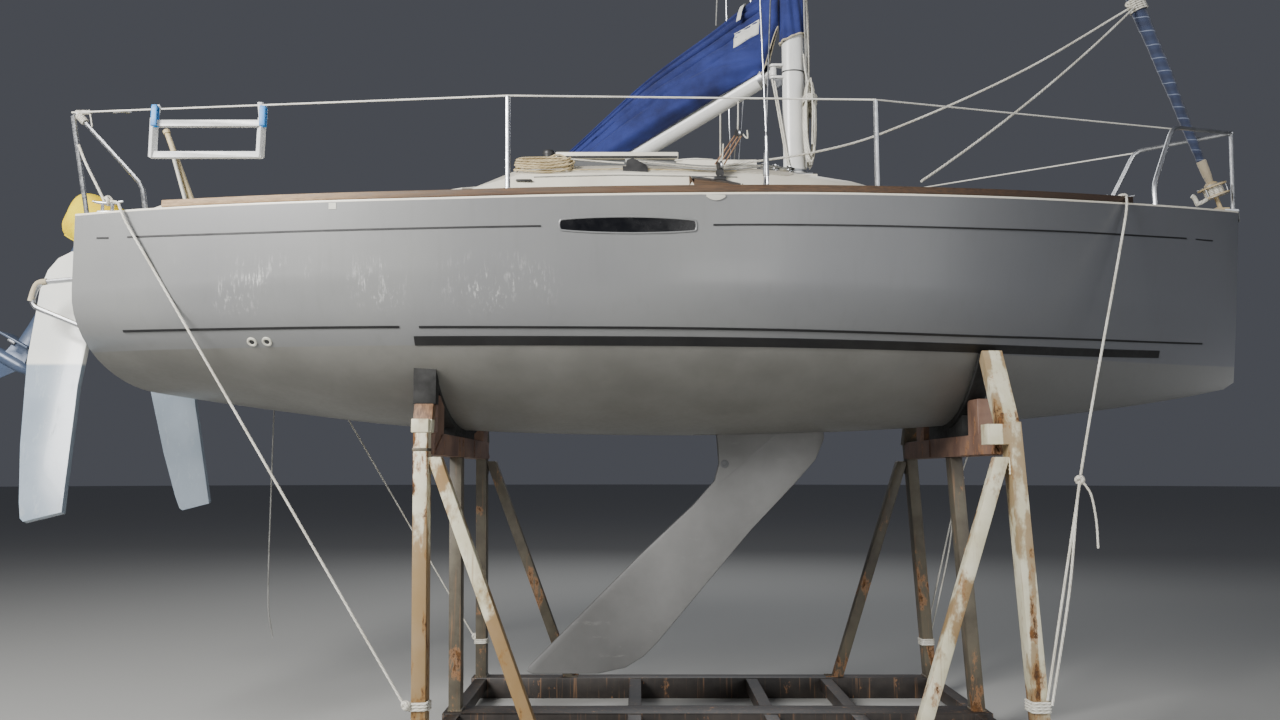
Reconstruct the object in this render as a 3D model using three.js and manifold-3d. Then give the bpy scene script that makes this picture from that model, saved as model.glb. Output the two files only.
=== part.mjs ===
// A 6.3 m sailing yacht on its steel storage cradle, in millimetres: +X to the bow, +Y to port, +Z up.
// The origin is on the floor, under the middle rail of the cradle.
import * as THREE from "three";
import { mergeVertices } from "three/addons/utils/BufferGeometryUtils.js";
import Module from "manifold-3d";

const wasm = await Module();
wasm.setup();

const GAP = 0.3; // between pieces that touch
const STARBOARD = -1;
const PORT = 1;
const SIDES = [
  ["starboard", STARBOARD],
  ["port", PORT],
];
const rad = THREE.MathUtils.degToRad;
const V = (x, y, z) => new THREE.Vector3(x, y, z);

// Materials: colour, roughness, metalness.
const finish = (color, roughness, metalness = 0) =>
  new THREE.MeshStandardMaterial({ color, roughness, metalness });
const GELCOAT = finish(0x8f9092, 0.35);
const DECK_WHITE = finish(0xe9e4d2, 0.5);
const TEAK = finish(0x7a5a3c, 0.7);
const ALLOY = finish(0xd9dadb, 0.35, 0.8);
const STAINLESS = finish(0xb9bcc0, 0.2, 1);
const NAVY_CLOTH = finish(0x1f2f6b, 0.9);
const JIB_CLOTH = finish(0x2b3550, 0.85);
const KEEL_GREY = finish(0x7c7d7f, 0.5);
const RUDDER_WHITE = finish(0xdde3e6, 0.3);
const SMOKED = finish(0x20242b, 0.15);
const MOTOR_GREY = finish(0x5d6678, 0.4, 0.3);
const COVER_YELLOW = finish(0xe6cf25, 0.8);
const CRADLE_STEEL = finish(0xb9ad95, 0.8, 0.2);
const CRADLE_DARK = finish(0x2a2725, 0.9, 0.1);
const CRADLE_RUST = finish(0x6b4a3c, 0.9);
const ROPE_WHITE = finish(0xd8d4c4, 0.8);

// Solids: every helper gives a manifold-3d solid, so that pieces can be joined and cut.
function solid(geometry) {
  const g = geometry.clone();
  g.deleteAttribute("normal");
  g.deleteAttribute("uv");
  const merged = mergeVertices(g, 1e-3);
  return new wasm.Manifold(
    new wasm.Mesh({
      numProp: 3,
      vertProperties: merged.attributes.position.array,
      triVerts: new Uint32Array(merged.index.array),
    }),
  );
}

const join = (...parts) => parts.reduce((whole, part) => whole.add(part));

function block(x0, x1, y0, y1, z0, z1) {
  const g = new THREE.BoxGeometry(x1 - x0, y1 - y0, z1 - z0);
  return solid(g.translate((x0 + x1) / 2, (y0 + y1) / 2, (z0 + z1) / 2));
}

// Turns a geometry that runs along +Z from 0 so that it runs from a towards b.
function aim(geometry, a, b) {
  const turn = new THREE.Quaternion().setFromUnitVectors(
    V(0, 0, 1),
    b.clone().sub(a).normalize(),
  );
  return geometry.applyQuaternion(turn).translate(a.x, a.y, a.z);
}

function rod(a, b, radius, sides = 10, endRadius = radius) {
  const length = a.distanceTo(b);
  const g = new THREE.CylinderGeometry(endRadius, radius, length, sides);
  return solid(aim(g.rotateX(Math.PI / 2).translate(0, 0, length / 2), a, b));
}

// A square tube from a to b, its faces kept square to X.
function beam(a, b, alongX, alongY) {
  const length = a.distanceTo(b);
  const g = new THREE.BoxGeometry(alongX, alongY, length);
  return solid(aim(g.translate(0, 0, length / 2), a, b));
}

// A bent tube through the points, its corners rounded by short curves.
function pipe(points, radius, bend = 60, sides = 8, steps = 28) {
  const path = new THREE.CurvePath();
  let from = points[0];
  for (let i = 1; i < points.length - 1; i++) {
    const before = points[i].clone().sub(points[i - 1]);
    const after = points[i + 1].clone().sub(points[i]);
    const cut = Math.min(bend, before.length() / 2.1, after.length() / 2.1);
    const start = points[i].clone().addScaledVector(before.normalize(), -cut);
    const end = points[i].clone().addScaledVector(after.normalize(), cut);
    path.add(new THREE.LineCurve3(from, start));
    path.add(new THREE.QuadraticBezierCurve3(start, points[i], end));
    from = end;
  }
  path.add(new THREE.LineCurve3(from, points[points.length - 1]));
  return sweep(path, radius, sides, steps);
}

function sweep(path, radius, sides = 8, steps = 28) {
  const ring = [...Array(sides).keys()].map((k) => {
    const angle = (2 * Math.PI * k) / sides;
    return new THREE.Vector2(radius * Math.cos(angle), radius * Math.sin(angle));
  });
  return solid(
    new THREE.ExtrudeGeometry(new THREE.Shape(ring), {
      steps,
      bevelEnabled: false,
      extrudePath: path,
    }),
  );
}

// An outline in the X-Z plane, as thick as y0 to y1.
function plate(outline, y0, y1) {
  const shape = new THREE.Shape(outline.map(([x, z]) => new THREE.Vector2(x, z)));
  const g = new THREE.ExtrudeGeometry(shape, {
    depth: y1 - y0,
    bevelEnabled: false,
  });
  return solid(g.rotateX(Math.PI / 2).translate(0, y1, 0));
}

// A skin over rings of equally many points, its two ends closed by fans.
function loft(rings) {
  const count = rings[0].length;
  const points = rings.flat();
  const faces = [];
  for (let r = 0; r + 1 < rings.length; r++)
    for (let k = 0; k < count; k++) {
      const next = (k + 1) % count;
      const [a, b] = [r * count + k, r * count + next];
      faces.push(a, b, b + count, a, b + count, a + count);
    }
  for (const [ring, first, flip] of [
    [rings[0], 0, true],
    [rings[rings.length - 1], (rings.length - 1) * count, false],
  ]) {
    const middle = ring
      .reduce((sum, p) => sum.add(p), V(0, 0, 0))
      .divideScalar(count);
    points.push(middle);
    for (let k = 0; k < count; k++) {
      const pair = [first + k, first + ((k + 1) % count)];
      if (flip) pair.reverse();
      faces.push(...pair, points.length - 1);
    }
  }
  const volume = (f) => {
    let sum = 0;
    for (let i = 0; i < f.length; i += 3)
      sum += points[f[i]].dot(points[f[i + 1]].clone().cross(points[f[i + 2]]));
    return sum;
  };
  if (volume(faces) < 0) faces.reverse();
  const g = new THREE.BufferGeometry().setFromPoints(points);
  return solid(g.setIndex(faces));
}

const root = new THREE.Group();
function add(name, shape, material, parent = root) {
  const made = shape.getMesh();
  const g = new THREE.BufferGeometry();
  g.setAttribute(
    "position",
    new THREE.BufferAttribute(new Float32Array(made.vertProperties), 3),
  );
  g.setIndex(new THREE.BufferAttribute(new Uint32Array(made.triVerts), 1));
  g.computeVertexNormals();
  const mesh = new THREE.Mesh(g, material);
  mesh.name = name;
  parent.add(mesh);
  return mesh;
}

// The hull's lines, one row for each station:
// x, half breadth at the sheer, sheer height, half breadth at the bilge, bilge height, keel height, fullness.
const STATIONS = [
  [-2790, 970, 2708, 962, 2340, 1905, 2.05],
  [-2450, 1035, 2717, 1022, 2350, 1852, 2.1],
  [-2000, 1110, 2721, 1090, 2370, 1790, 2.1],
  [-1500, 1175, 2723, 1152, 2395, 1728, 2.1],
  [-1000, 1215, 2726, 1188, 2420, 1690, 2.1],
  [-400, 1238, 2736, 1205, 2445, 1668, 2.05],
  [200, 1232, 2746, 1192, 2460, 1661, 2.0],
  [800, 1175, 2763, 1120, 2462, 1668, 1.95],
  [1400, 1050, 2787, 975, 2460, 1694, 1.88],
  [1900, 885, 2817, 790, 2455, 1727, 1.78],
  [2400, 655, 2857, 555, 2445, 1774, 1.65],
  [2850, 395, 2902, 315, 2430, 1832, 1.52],
  [3200, 175, 2937, 130, 2415, 1890, 1.42],
  [3370, 62, 2955, 44, 2400, 1925, 1.38],
  [3430, 16, 2962, 14, 2395, 1965, 1.35],
];
const STEM_RAKE = 85; // how far the stem's head stands ahead of its foot
const STERN_X = STATIONS[0][0];
const BOW_X = STATIONS[STATIONS.length - 1][0];
const BILGE_STEPS = 12;
const DECK_EDGE = 10; // height of the deck moulding's edge over the hull
const DECK_CAMBER = 0.05; // rise at the middle, for each unit of half breadth

// A fair curve through a table's rows: a cubic between two rows, its slopes taken from the rows either side.
function fair(table, x) {
  const last = table.length - 2;
  let i = 0;
  while (i < last && table[i + 1][0] < x) i++;
  const [low, high] = [table[i], table[i + 1]];
  const [before, after] = [table[Math.max(i - 1, 0)], table[Math.min(i + 2, last + 1)]];
  const span = high[0] - low[0];
  const t = (x - low[0]) / span;
  return low.map((value, k) => {
    const slope = (a, b) => ((b[k] - a[k]) / (b[0] - a[0])) * span;
    const rise = high[k] - value;
    const [leave, arrive] = [slope(before, high), slope(low, after)];
    return value + t * leave + t * t * (3 * rise - 2 * leave - arrive + t * (leave + arrive - 2 * rise));
  });
}

function station(x) {
  const [, sheerHalf, sheerZ, bilgeHalf, bilgeZ, keelZ, power] = fair(STATIONS, x);
  return { x, sheerHalf, sheerZ, bilgeHalf, bilgeZ, keelZ, power };
}

// The stem leans forward: points near the bow move ahead as they rise.
function rake(x, z) {
  const share = THREE.MathUtils.smoothstep(x, 2400, BOW_X);
  return x + share * STEM_RAKE * THREE.MathUtils.clamp((z - 1950) / 1045, 0, 1.1);
}

// One section of the hull, or of a shape that stands a little outside it.
function hullRing(s, out = 0) {
  let half = [];
  for (let k = 0; k <= BILGE_STEPS; k++) {
    const angle = (Math.PI / 2) * (k / BILGE_STEPS);
    const y = s.bilgeHalf * Math.pow(Math.sin(angle), 2 / s.power);
    const z = s.bilgeZ - (s.bilgeZ - s.keelZ) * Math.pow(Math.cos(angle), 2 / s.power);
    half.push([y, k === BILGE_STEPS ? s.bilgeZ : z]);
  }
  half.push([s.sheerHalf, s.sheerZ]);
  half = half.map(([y, z], k) => {
    const [a, b] = [half[Math.max(k - 1, 0)], half[Math.min(k + 1, half.length - 1)]];
    const [ty, tz] = k === 0 ? [1, 0] : [b[0] - a[0], b[1] - a[1]];
    const length = Math.hypot(ty, tz);
    return [y + (out * tz) / length, z - (out * ty) / length];
  });
  const port = half.map(([y, z]) => V(rake(s.x, z), y, z));
  const starboard = half.slice(1).map(([y, z]) => V(rake(s.x, z), -y, z));
  return [...starboard.reverse(), ...port];
}

// The cockpit, its walk-through and the cabin, cut from hull and deck alike.
const COCKPIT = { aft: -2540, fore: -905, half: 780, seatZ: 2560 };
const WELL = { aft: -2400, half: 360, z: 2290 };
const WALK = { half: 700, z: COCKPIT.seatZ };
const ENTRY = { aft: -890, fore: -20, half: 265, sillZ: 2600 };
const CABIN = { aft: -850, fore: 700, half: 520, soleZ: 2000, deckheadZ: 2850 };
const ROOF_VOID = { aft: -470, half: 430, z: 3050 };
const SKY = 4000;

function openings() {
  return [
    block(COCKPIT.aft, COCKPIT.fore, -COCKPIT.half, COCKPIT.half, COCKPIT.seatZ, SKY),
    block(WELL.aft, COCKPIT.fore, -WELL.half, WELL.half, WELL.z, SKY),
    block(STERN_X - 50, COCKPIT.aft + 1, -WALK.half, WALK.half, WALK.z, SKY),
    block(CABIN.aft, CABIN.fore, -CABIN.half, CABIN.half, CABIN.soleZ, CABIN.deckheadZ),
    block(ROOF_VOID.aft, CABIN.fore, -ROOF_VOID.half, ROOF_VOID.half, CABIN.soleZ, ROOF_VOID.z),
    block(COCKPIT.fore - 1, ENTRY.fore, -ENTRY.half, ENTRY.half, ENTRY.sillZ, SKY),
  ];
}

// The swing keel and its case. The outline is the keel as lowered.
const KEEL_PIVOT = { x: 960, z: 1790, pin: 22 };
const KEEL_HALF = 38; // half thickness
// x, z round the side view, from the head's fore corner down the leading edge
const KEEL_OUTLINE = [
  [1045, 1800],
  [1052, 1640],
  [1000, 1520],
  [880, 1385],
  [628, 1123],
  [100, 505],
  [20, 425],
  [-80, 365],
  [-230, 332],
  [-600, 330],
  [-635, 345],
  [-618, 372],
  [0, 982],
  [310, 1270],
  [425, 1400],
  [452, 1500],
  [440, 1660],
  [445, 1790],
  [520, 1850],
  [1000, 1860],
];
const CASE = { aft: 330, fore: 1090, half: KEEL_HALF + 14, top: 1975 };

// The whole hull as a solid, its skin moved out by a distance.
const hullShape = (out) => loft(SECTIONS.map((x) => hullRing(station(x), out)));

function buildHull() {
  let shell = hullShape(0);
  for (const hole of openings()) shell = shell.subtract(hole);
  const casePlan = [
    [CASE.aft, 1500],
    [CASE.fore, 1500],
    [CASE.fore, 1905],
    [CASE.fore - 150, CASE.top],
    [CASE.aft + 60, CASE.top],
    [CASE.aft - 60, 1900],
  ];
  shell = shell.subtract(plate(casePlan, -CASE.half, CASE.half));
  const pin = rod(
    V(KEEL_PIVOT.x, -CASE.half - 8, KEEL_PIVOT.z),
    V(KEEL_PIVOT.x, CASE.half + 8, KEEL_PIVOT.z),
    KEEL_PIVOT.pin,
    16,
  );
  add("hull", shell.add(pin), GELCOAT);
}

// The deck: at each row, how far out the coachroof or coaming starts and ends, and how high it stands.
// x, foot, shoulder, rise
const DECK_ROWS = [
  [-2790, 930, 880, 0],
  [-2480, 960, 910, 0],
  [-2330, 965, 925, 55],
  [-1130, 1005, 955, 58],
  [-905, 900, 830, 120],
  [-870, 800, 720, 140],
  [-640, 750, 635, 228],
  [-100, 730, 600, 238],
  [450, 690, 560, 228],
  [650, 665, 535, 221],
  [930, 620, 475, 202],
  [1180, 555, 405, 178],
  [1500, 450, 300, 118],
  [2050, 300, 180, 14],
  [2400, 220, 120, 0],
  [2850, 150, 80, 0],
  [3200, 75, 40, 0],
  [3370, 30, 15, 0],
  [3430, 8, 4, 0],
];
const ROOF_CROWN = 127; // rise of the roof's middle over its shoulders, where the roof stands 300 high

// Where the lofts have a section: at each row of both tables, and between rows that stand far apart.
const SECTIONS = [];
const rowX = [...new Set([...STATIONS, ...DECK_ROWS].map((row) => row[0]))].sort((a, b) => a - b);
rowX.forEach((x, i) => {
  const next = rowX[i + 1] ?? x + 1;
  const parts = Math.ceil((next - x) / 190);
  for (let k = 0; k < parts; k++) SECTIONS.push(x + ((next - x) * k) / parts);
});

function deckRow(x) {
  const last = DECK_ROWS.length - 2;
  let i = 0;
  while (i < last && DECK_ROWS[i + 1][0] < x) i++;
  const [low, high] = [DECK_ROWS[i], DECK_ROWS[i + 1]];
  const t = (x - low[0]) / (high[0] - low[0]);
  return low.map((value, k) => value + t * (high[k] - value));
}

function deckZ(x, y) {
  const s = station(x);
  const [, foot, shoulder, rise] = deckRow(x);
  const across = Math.abs(y);
  const share = Math.min(across / s.sheerHalf, 1);
  const camber = DECK_CAMBER * s.sheerHalf * (1 - share * share);
  const slope = THREE.MathUtils.clamp((foot - across) / (foot - shoulder), 0, 1);
  const crown = Math.max(0, 1 - (across / shoulder) ** 5) * ROOF_CROWN * (rise / 300);
  return s.sheerZ + DECK_EDGE + camber + rise * slope + crown;
}

function deckRing(x) {
  const s = station(x);
  const [, foot, shoulder] = deckRow(x);
  const outs = [s.sheerHalf, foot, shoulder, shoulder * 0.82, shoulder * 0.55];
  const top = (side) => outs.map((y) => [side * y, deckZ(x, y)]);
  const ring = [
    [-s.sheerHalf, s.sheerZ + GAP],
    ...top(STARBOARD),
    [0, deckZ(x, 0)],
    ...top(PORT).reverse(),
    [s.sheerHalf, s.sheerZ + GAP],
  ];
  return ring.map(([y, z]) => V(rake(x, s.sheerZ), y, z));
}

const MAST = { x: 912, z: 3176, top: 11200, long: 64, wide: 44 };
const HATCH = { aft: -472, fore: 215, half: 330, low: 3196, high: 3244, travel: 440 };

let deckSolid;
// Ends a foot on the deck's surface, and drops what is left beneath it.
function onDeck(shape) {
  const cut = shape.subtract(deckSolid.translate([0, 0, GAP]));
  return cut.decompose().sort((a, b) => b.volume() - a.volume())[0];
}

function buildDeck() {
  let deck = loft(SECTIONS.map(deckRing));
  const runners = SIDES.map(([, side]) =>
    block(
      HATCH.aft + 20,
      HATCH.fore + HATCH.travel,
      Math.min(side * 285, side * 305),
      Math.max(side * 285, side * 305),
      3020,
      HATCH.low - 0.8,
    ),
  );
  deck = join(deck, ...runners);
  for (const hole of openings()) deck = deck.subtract(hole);
  const step = block(MAST.x - 120, MAST.x + 120, -90, 90, 3080, MAST.z - GAP);
  deckSolid = deck.add(step);
  add("deck", deckSolid, DECK_WHITE);
}

// A winch on each side of the coachroof, abreast of the hatch's after end.
const WINCH = { x: -500, y: 450, top: 3200 };

function buildWinches() {
  const profile = [
    [0, -130],
    [44, -130],
    [44, -76],
    [30, -68],
    [27, -40],
    [34, -22],
    [34, -8],
    [30, 0],
    [0, 0],
  ];
  for (const [word, side] of SIDES) {
    const g = new THREE.LatheGeometry(
      profile.map(([r, h]) => new THREE.Vector2(r, h)),
      20,
    );
    g.rotateX(Math.PI / 2).translate(WINCH.x, side * WINCH.y, WINCH.top);
    add(`winch_${word}`, onDeck(solid(g)), STAINLESS);
  }
}

// A strip of teak along the edge of the deck.
function buildToeRails() {
  const [aft, fore, wide, high, inset] = [-2330, 2650, 34, 34, 4];
  const rows = [aft, ...SECTIONS.filter((x) => x > aft + 1 && x < fore), fore];
  for (const [word, side] of SIDES) {
    const rings = rows.map((x) => {
      const outer = station(x).sheerHalf - inset;
      const z = Math.max(deckZ(x, outer), deckZ(x, outer - wide)) + GAP;
      const at = (y, up) => V(rake(x, station(x).sheerZ), side * y, z + up);
      return [at(outer, 0), at(outer, high), at(outer - wide, high), at(outer - wide, 0)];
    });
    add(`toe_rail_${word}`, loft(rings), TEAK);
  }
}

function buildCompanionway() {
  const [wall, clear] = [18, 1.5];
  const half = ENTRY.half - clear;
  const aft = ENTRY.aft + 4;
  const board = [
    [aft, ENTRY.sillZ + GAP],
    [aft, 2975],
    [HATCH.aft - 4, HATCH.low - 8],
    [HATCH.aft - 4, HATCH.low - 32],
    [aft + wall, 2965],
    [aft + wall, ENTRY.sillZ + GAP],
  ];
  add("washboard", plate(board, -half, half), SMOKED);
  const { aft: x0, fore: x1, low, high, half: lidHalf } = HATCH;
  // the lid's top is a little crowned
  const lidPlan = [x0, x1].map((x) => [
    V(x, -lidHalf, low),
    V(x, -lidHalf, high - 12),
    V(x, -lidHalf * 0.7, high - 3),
    V(x, 0, high),
    V(x, lidHalf * 0.7, high - 3),
    V(x, lidHalf, high - 12),
    V(x, lidHalf, low),
  ]);
  const lid = loft(lidPlan);
  add("hatch", lid, ALLOY);
}

// The mast, with the gooseneck's ears and pin on its after side, and its spreaders.
const GOOSENECK = { x: 795, z: 3826, pin: 9 };
const HOUNDS_Z = 10080;
const SPREADER = { z: 7050, tipX: 540, tipY: 705 };

function buildMast() {
  const tube = new THREE.CylinderGeometry(1, 1, MAST.top - MAST.z, 20);
  tube.rotateX(Math.PI / 2).scale(MAST.long, MAST.wide, 1);
  tube.translate(MAST.x, 0, (MAST.top + MAST.z) / 2);
  const crane = block(MAST.x - 170, MAST.x + 95, -22, 22, MAST.top - 60, MAST.top - 10);
  const ear = (z) =>
    join(
      block(GOOSENECK.x, MAST.x - 40, -22, 22, z - 6, z + 6),
      rod(V(GOOSENECK.x, 0, z - 6), V(GOOSENECK.x, 0, z + 6), 22, 18),
    );
  const pin = rod(
    V(GOOSENECK.x, 0, GOOSENECK.z - 42),
    V(GOOSENECK.x, 0, GOOSENECK.z + 42),
    GOOSENECK.pin,
    16,
  );
  const spreaders = SIDES.map(([, side]) =>
    rod(
      V(MAST.x - 20, side * 20, SPREADER.z - 62),
      V(SPREADER.tipX, side * SPREADER.tipY, SPREADER.z),
      17,
      8,
      11,
    ),
  );
  const fittings = [ear(GOOSENECK.z + 37), ear(GOOSENECK.z - 37), pin, ...spreaders];
  add("mast", join(solid(tube), crane, ...fittings), ALLOY);
  buildMastCover();
}

// The part of the sail cover that is laced round the mast.
function buildMastCover() {
  const [low, high, thick] = [3905, 4500, 7];
  const sleeve = (more, z0, z1) => {
    const g = new THREE.CylinderGeometry(1, 1, z1 - z0, 24);
    g.rotateX(Math.PI / 2).scale(MAST.long + more, MAST.wide + more, 1);
    return solid(g.translate(MAST.x, 0, (z0 + z1) / 2));
  };
  const wrap = sleeve(thick, low, high).subtract(sleeve(1, low - 50, high + 50));
  add("mast_cover", wrap, NAVY_CLOTH);
}

// The boom droops to port, its end over the cockpit coaming.
const BOOM = { yaw: 28, droop: 21.9, from: 62, length: 2250, radius: 55 };
const alongBoom = V(
  -Math.cos(rad(BOOM.yaw)) * Math.cos(rad(BOOM.droop)),
  Math.sin(rad(BOOM.yaw)) * Math.cos(rad(BOOM.droop)),
  -Math.sin(rad(BOOM.droop)),
);
const goose = V(GOOSENECK.x, 0, GOOSENECK.z);
const abeam = V(Math.sin(rad(BOOM.yaw)), Math.cos(rad(BOOM.yaw)), 0);
const onBoom = (s, up = 0) => goose.clone().addScaledVector(alongBoom, s).add(V(0, 0, up));

const NOSE = 36; // radius of the cover's upright fore end, round the gooseneck's pin
// Along the boom: distance, height of the cover's ridge over the boom's axis, half width at the belly.
const COVER_ROWS = [
  [0, 690, NOSE],
  [160, 668, 100],
  [420, 615, 140],
  [900, 470, 135],
  [1500, 315, 112],
  [2000, 200, 85],
  [2215, 135, 60],
];

function buildBoom() {
  const spar = rod(onBoom(BOOM.from), onBoom(BOOM.length), BOOM.radius, 16);
  const barrel = rod(goose.clone().add(V(0, 0, -24)), goose.clone().add(V(0, 0, 24)), 19, 18);
  const neck = beam(onBoom(0), onBoom(BOOM.from + 5), 28, 28);
  const hole = rod(
    goose.clone().add(V(0, 0, -60)),
    goose.clone().add(V(0, 0, 60)),
    GOOSENECK.pin + 0.9,
    20,
  );
  add("boom", join(spar, barrel, neck).subtract(hole), ALLOY);
  const base = BOOM.radius / Math.cos(rad(BOOM.droop)) + 0.6;
  const rings = COVER_ROWS.map(([s, ridge, belly]) => {
    const shape = [
      [-0.42 * belly, base],
      [-belly, base + 0.18 * ridge],
      [-0.75 * belly, 0.55 * ridge + base * 0.4],
      [-0.22 * belly, 0.92 * ridge],
      [0.22 * belly, 0.92 * ridge],
      [0.75 * belly, 0.55 * ridge + base * 0.4],
      [belly, base + 0.18 * ridge],
      [0.42 * belly, base],
    ];
    return shape.map(([out, up]) => onBoom(s, up).addScaledVector(abeam, out));
  });
  const nose = rod(
    goose.clone().add(V(0, 0, base + 2)),
    goose.clone().add(V(0, 0, 0.92 * COVER_ROWS[0][1] - 1)),
    NOSE,
    16,
  );
  add("sail_cover", join(loft(rings), nose), NAVY_CLOTH);
}

// The headsail rolled round its stay, on a drum at the stem.
const TACK = V(3382, 0, 3095);
const HOUNDS = V(MAST.x + MAST.long - 3, 0, HOUNDS_Z);
const onStay = (share) => TACK.clone().lerp(HOUNDS, share);
// The room the mast's tube takes, with the usual gap.
function mastSpace() {
  const g = new THREE.CylinderGeometry(1, 1, MAST.top - MAST.z, 20);
  g.rotateX(Math.PI / 2).scale(MAST.long + GAP, MAST.wide + GAP, 1);
  return solid(g.translate(MAST.x, 0, (MAST.top + MAST.z) / 2));
}

function buildHeadsail() {
  // share of the stay, radius of the roll
  const rollRows = [
    [0.012, 22],
    [0.05, 27],
    [0.09, 34],
    [0.16, 42],
    [0.25, 46],
    [0.45, 44],
    [0.75, 34],
    [0.93, 22],
  ];
  const out = onStay(1).sub(onStay(0)).normalize();
  const across = V(0, 1, 0);
  const up = out.clone().cross(across);
  const ring = (share, radius) =>
    [...Array(12).keys()].map((k) => {
      const angle = (2 * Math.PI * k) / 12;
      return onStay(share)
        .addScaledVector(across, radius * Math.cos(angle))
        .addScaledVector(up, radius * Math.sin(angle));
    });
  const stay = rod(onStay(0.92), onStay(1), 5, 8);
  const roll = loft(rollRows.map(([share, radius]) => ring(share, radius)));
  add("furled_jib", join(roll, stay).subtract(mastSpace()), JIB_CLOTH);
  const drum = join(
    rod(onStay(-0.0046), onStay(-0.0032), 80, 20),
    rod(onStay(-0.0033), onStay(0.0033), 46, 18),
    rod(onStay(0.0032), onStay(0.0046), 80, 20),
    rod(V(TACK.x + 40, 0, 2980), onStay(-0.004), 12, 10),
    rod(onStay(0.004), onStay(0.0118), 14, 10),
    block(TACK.x + 4, TACK.x + 80, -16, 16, 2940, 2996),
  );
  add("furler_drum", onDeck(drum), STAINLESS);
}

const CHAINPLATE = { x: 628, y: 1000 };

function buildShrouds() {
  const foot = V(CHAINPLATE.x, CHAINPLATE.y, deckZ(CHAINPLATE.x, CHAINPLATE.y) - 5);
  for (const [word, side] of SIDES) {
    const at = (x, y, z) => V(x, side * y, z);
    const tip = at(SPREADER.tipX, SPREADER.tipY + 8.4, SPREADER.z);
    const head = at(MAST.x - 10, MAST.wide - 4, HOUNDS_Z);
    const wire = join(
      block(foot.x - 25, foot.x + 25, side * foot.y - 5, side * foot.y + 5, foot.z, foot.z + 60),
      rod(at(foot.x, foot.y, foot.z + 50), at(foot.x, foot.y - 25, foot.z + 330), 8, 8),
      rod(at(foot.x, foot.y - 24, foot.z + 320), tip, 5, 8),
      rod(tip, head, 5, 8),
      solid(new THREE.SphereGeometry(7, 8, 6).translate(tip.x, tip.y, tip.z)),
    );
    add(`shroud_${word}`, onDeck(wire.subtract(mastSpace())), STAINLESS);
  }
}

// Rails: the pulpit at the bow, the pushpit's two corners, stanchions and the lifelines between them.
const RAIL = 12.5;
const PULPIT = {
  post: V(3506, 0, 3450),
  corner: [3042, 228, 3410],
  bend: [2955, 270, 3220],
  knee: [2872, 318, 3043],
  foot: [2868, 330],
};
const STANCHIONS = [
  ["fore", 1165, 1022, 3270],
  ["aft", -630, 1160, 3240],
];
const PUSHPIT = { topX: -2872, topZ: 3280, y: 905, aftX: -2768, foreX: -2477 };
const WIRE = 4.5;

// The lifeline's four corners on one side: pulpit, two stanchions, pushpit.
function lifelineEnds(side) {
  const [cornerX, cornerY, cornerZ] = PULPIT.corner;
  const heads = STANCHIONS.map(([, x, foot, headZ]) =>
    V(x - 4, side * (foot + 20), headZ + WIRE + 0.4),
  );
  return [
    V(cornerX + 6, side * (cornerY - 3), cornerZ - 10),
    ...heads,
    V(PUSHPIT.topX, side * PUSHPIT.y, PUSHPIT.topZ - 22),
  ];
}

function lifelineAt(side, x) {
  const ends = lifelineEnds(side);
  const i = ends.findIndex((end, k) => k < 3 && ends[k + 1].x <= x);
  const share = (ends[i].x - x) / (ends[i].x - ends[i + 1].x);
  return ends[i].clone().lerp(ends[i + 1], share);
}

function pulpitLeg(side, radius) {
  const at = ([x, y, z]) => V(x, side * y, z);
  const [footX, footY] = PULPIT.foot;
  const foot = V(footX, side * footY, deckZ(footX, footY) - 12);
  return pipe([PULPIT.post.clone(), at(PULPIT.corner), at(PULPIT.bend), at(PULPIT.knee), foot], radius, 45);
}

function pushpitHoop(side, radius) {
  const { topX, topZ, y, aftX, foreX } = PUSHPIT;
  const footZ = (x) => deckZ(x, y - 10) - 12;
  return pipe(
    [
      V(aftX, side * (y - 10), footZ(aftX)),
      V(topX, side * y, topZ),
      V(foreX - 15, side * (y + 5), 2880),
      V(foreX, side * (y - 10), footZ(foreX)),
    ],
    radius,
    45,
  );
}

function buildRails() {
  const top = PULPIT.post;
  const post = rod(V(3492, 0, deckZ(BOW_X, 0) - 12), top, RAIL, 10);
  const cap = solid(new THREE.SphereGeometry(RAIL * 1.3, 10, 8).translate(top.x, 0, top.z));
  const legs = SIDES.map(([, side]) => pulpitLeg(side, RAIL));
  add("pulpit", onDeck(join(post, cap, ...legs)), STAINLESS);

  for (const [word, side] of SIDES) {
    add(`pushpit_${word}`, onDeck(pushpitHoop(side, RAIL)), STAINLESS);
    for (const [place, x, foot, headZ] of STANCHIONS) {
      const low = V(x, side * foot, deckZ(x, foot) - 8);
      const high = V(x - 4, side * (foot + 20), headZ);
      const socket = rod(low, V(x, side * (foot + 3), low.z + 55), 18, 10);
      add(`stanchion_${word}_${place}`, onDeck(join(socket, rod(low, high, RAIL, 10))), STAINLESS);
    }
    const ends = lifelineEnds(side);
    const runs = [0, 1, 2].map((i) => rod(ends[i], ends[i + 1], WIRE, 6));
    const balls = [1, 2].map((i) =>
      solid(new THREE.SphereGeometry(WIRE, 8, 6).translate(ends[i].x, ends[i].y, ends[i].z)),
    );
    const wire = join(...runs, ...balls)
      .subtract(pulpitLeg(side, RAIL + 0.4))
      .subtract(pushpitHoop(side, RAIL + 1.2))
      .decompose()
      .sort((a, b) => b.volume() - a.volume())[0];
    add(`lifeline_${word}`, wire, ROPE_WHITE);
  }
}

function buildKeel() {
  const { x, z, pin } = KEEL_PIVOT;
  const blade = plate(KEEL_OUTLINE, -KEEL_HALF, KEEL_HALF).subtract(
    rod(V(x, -100, z), V(x, 100, z), pin + 1.2, 20),
  );
  add("keel", blade, KEEL_GREY);
}

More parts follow.
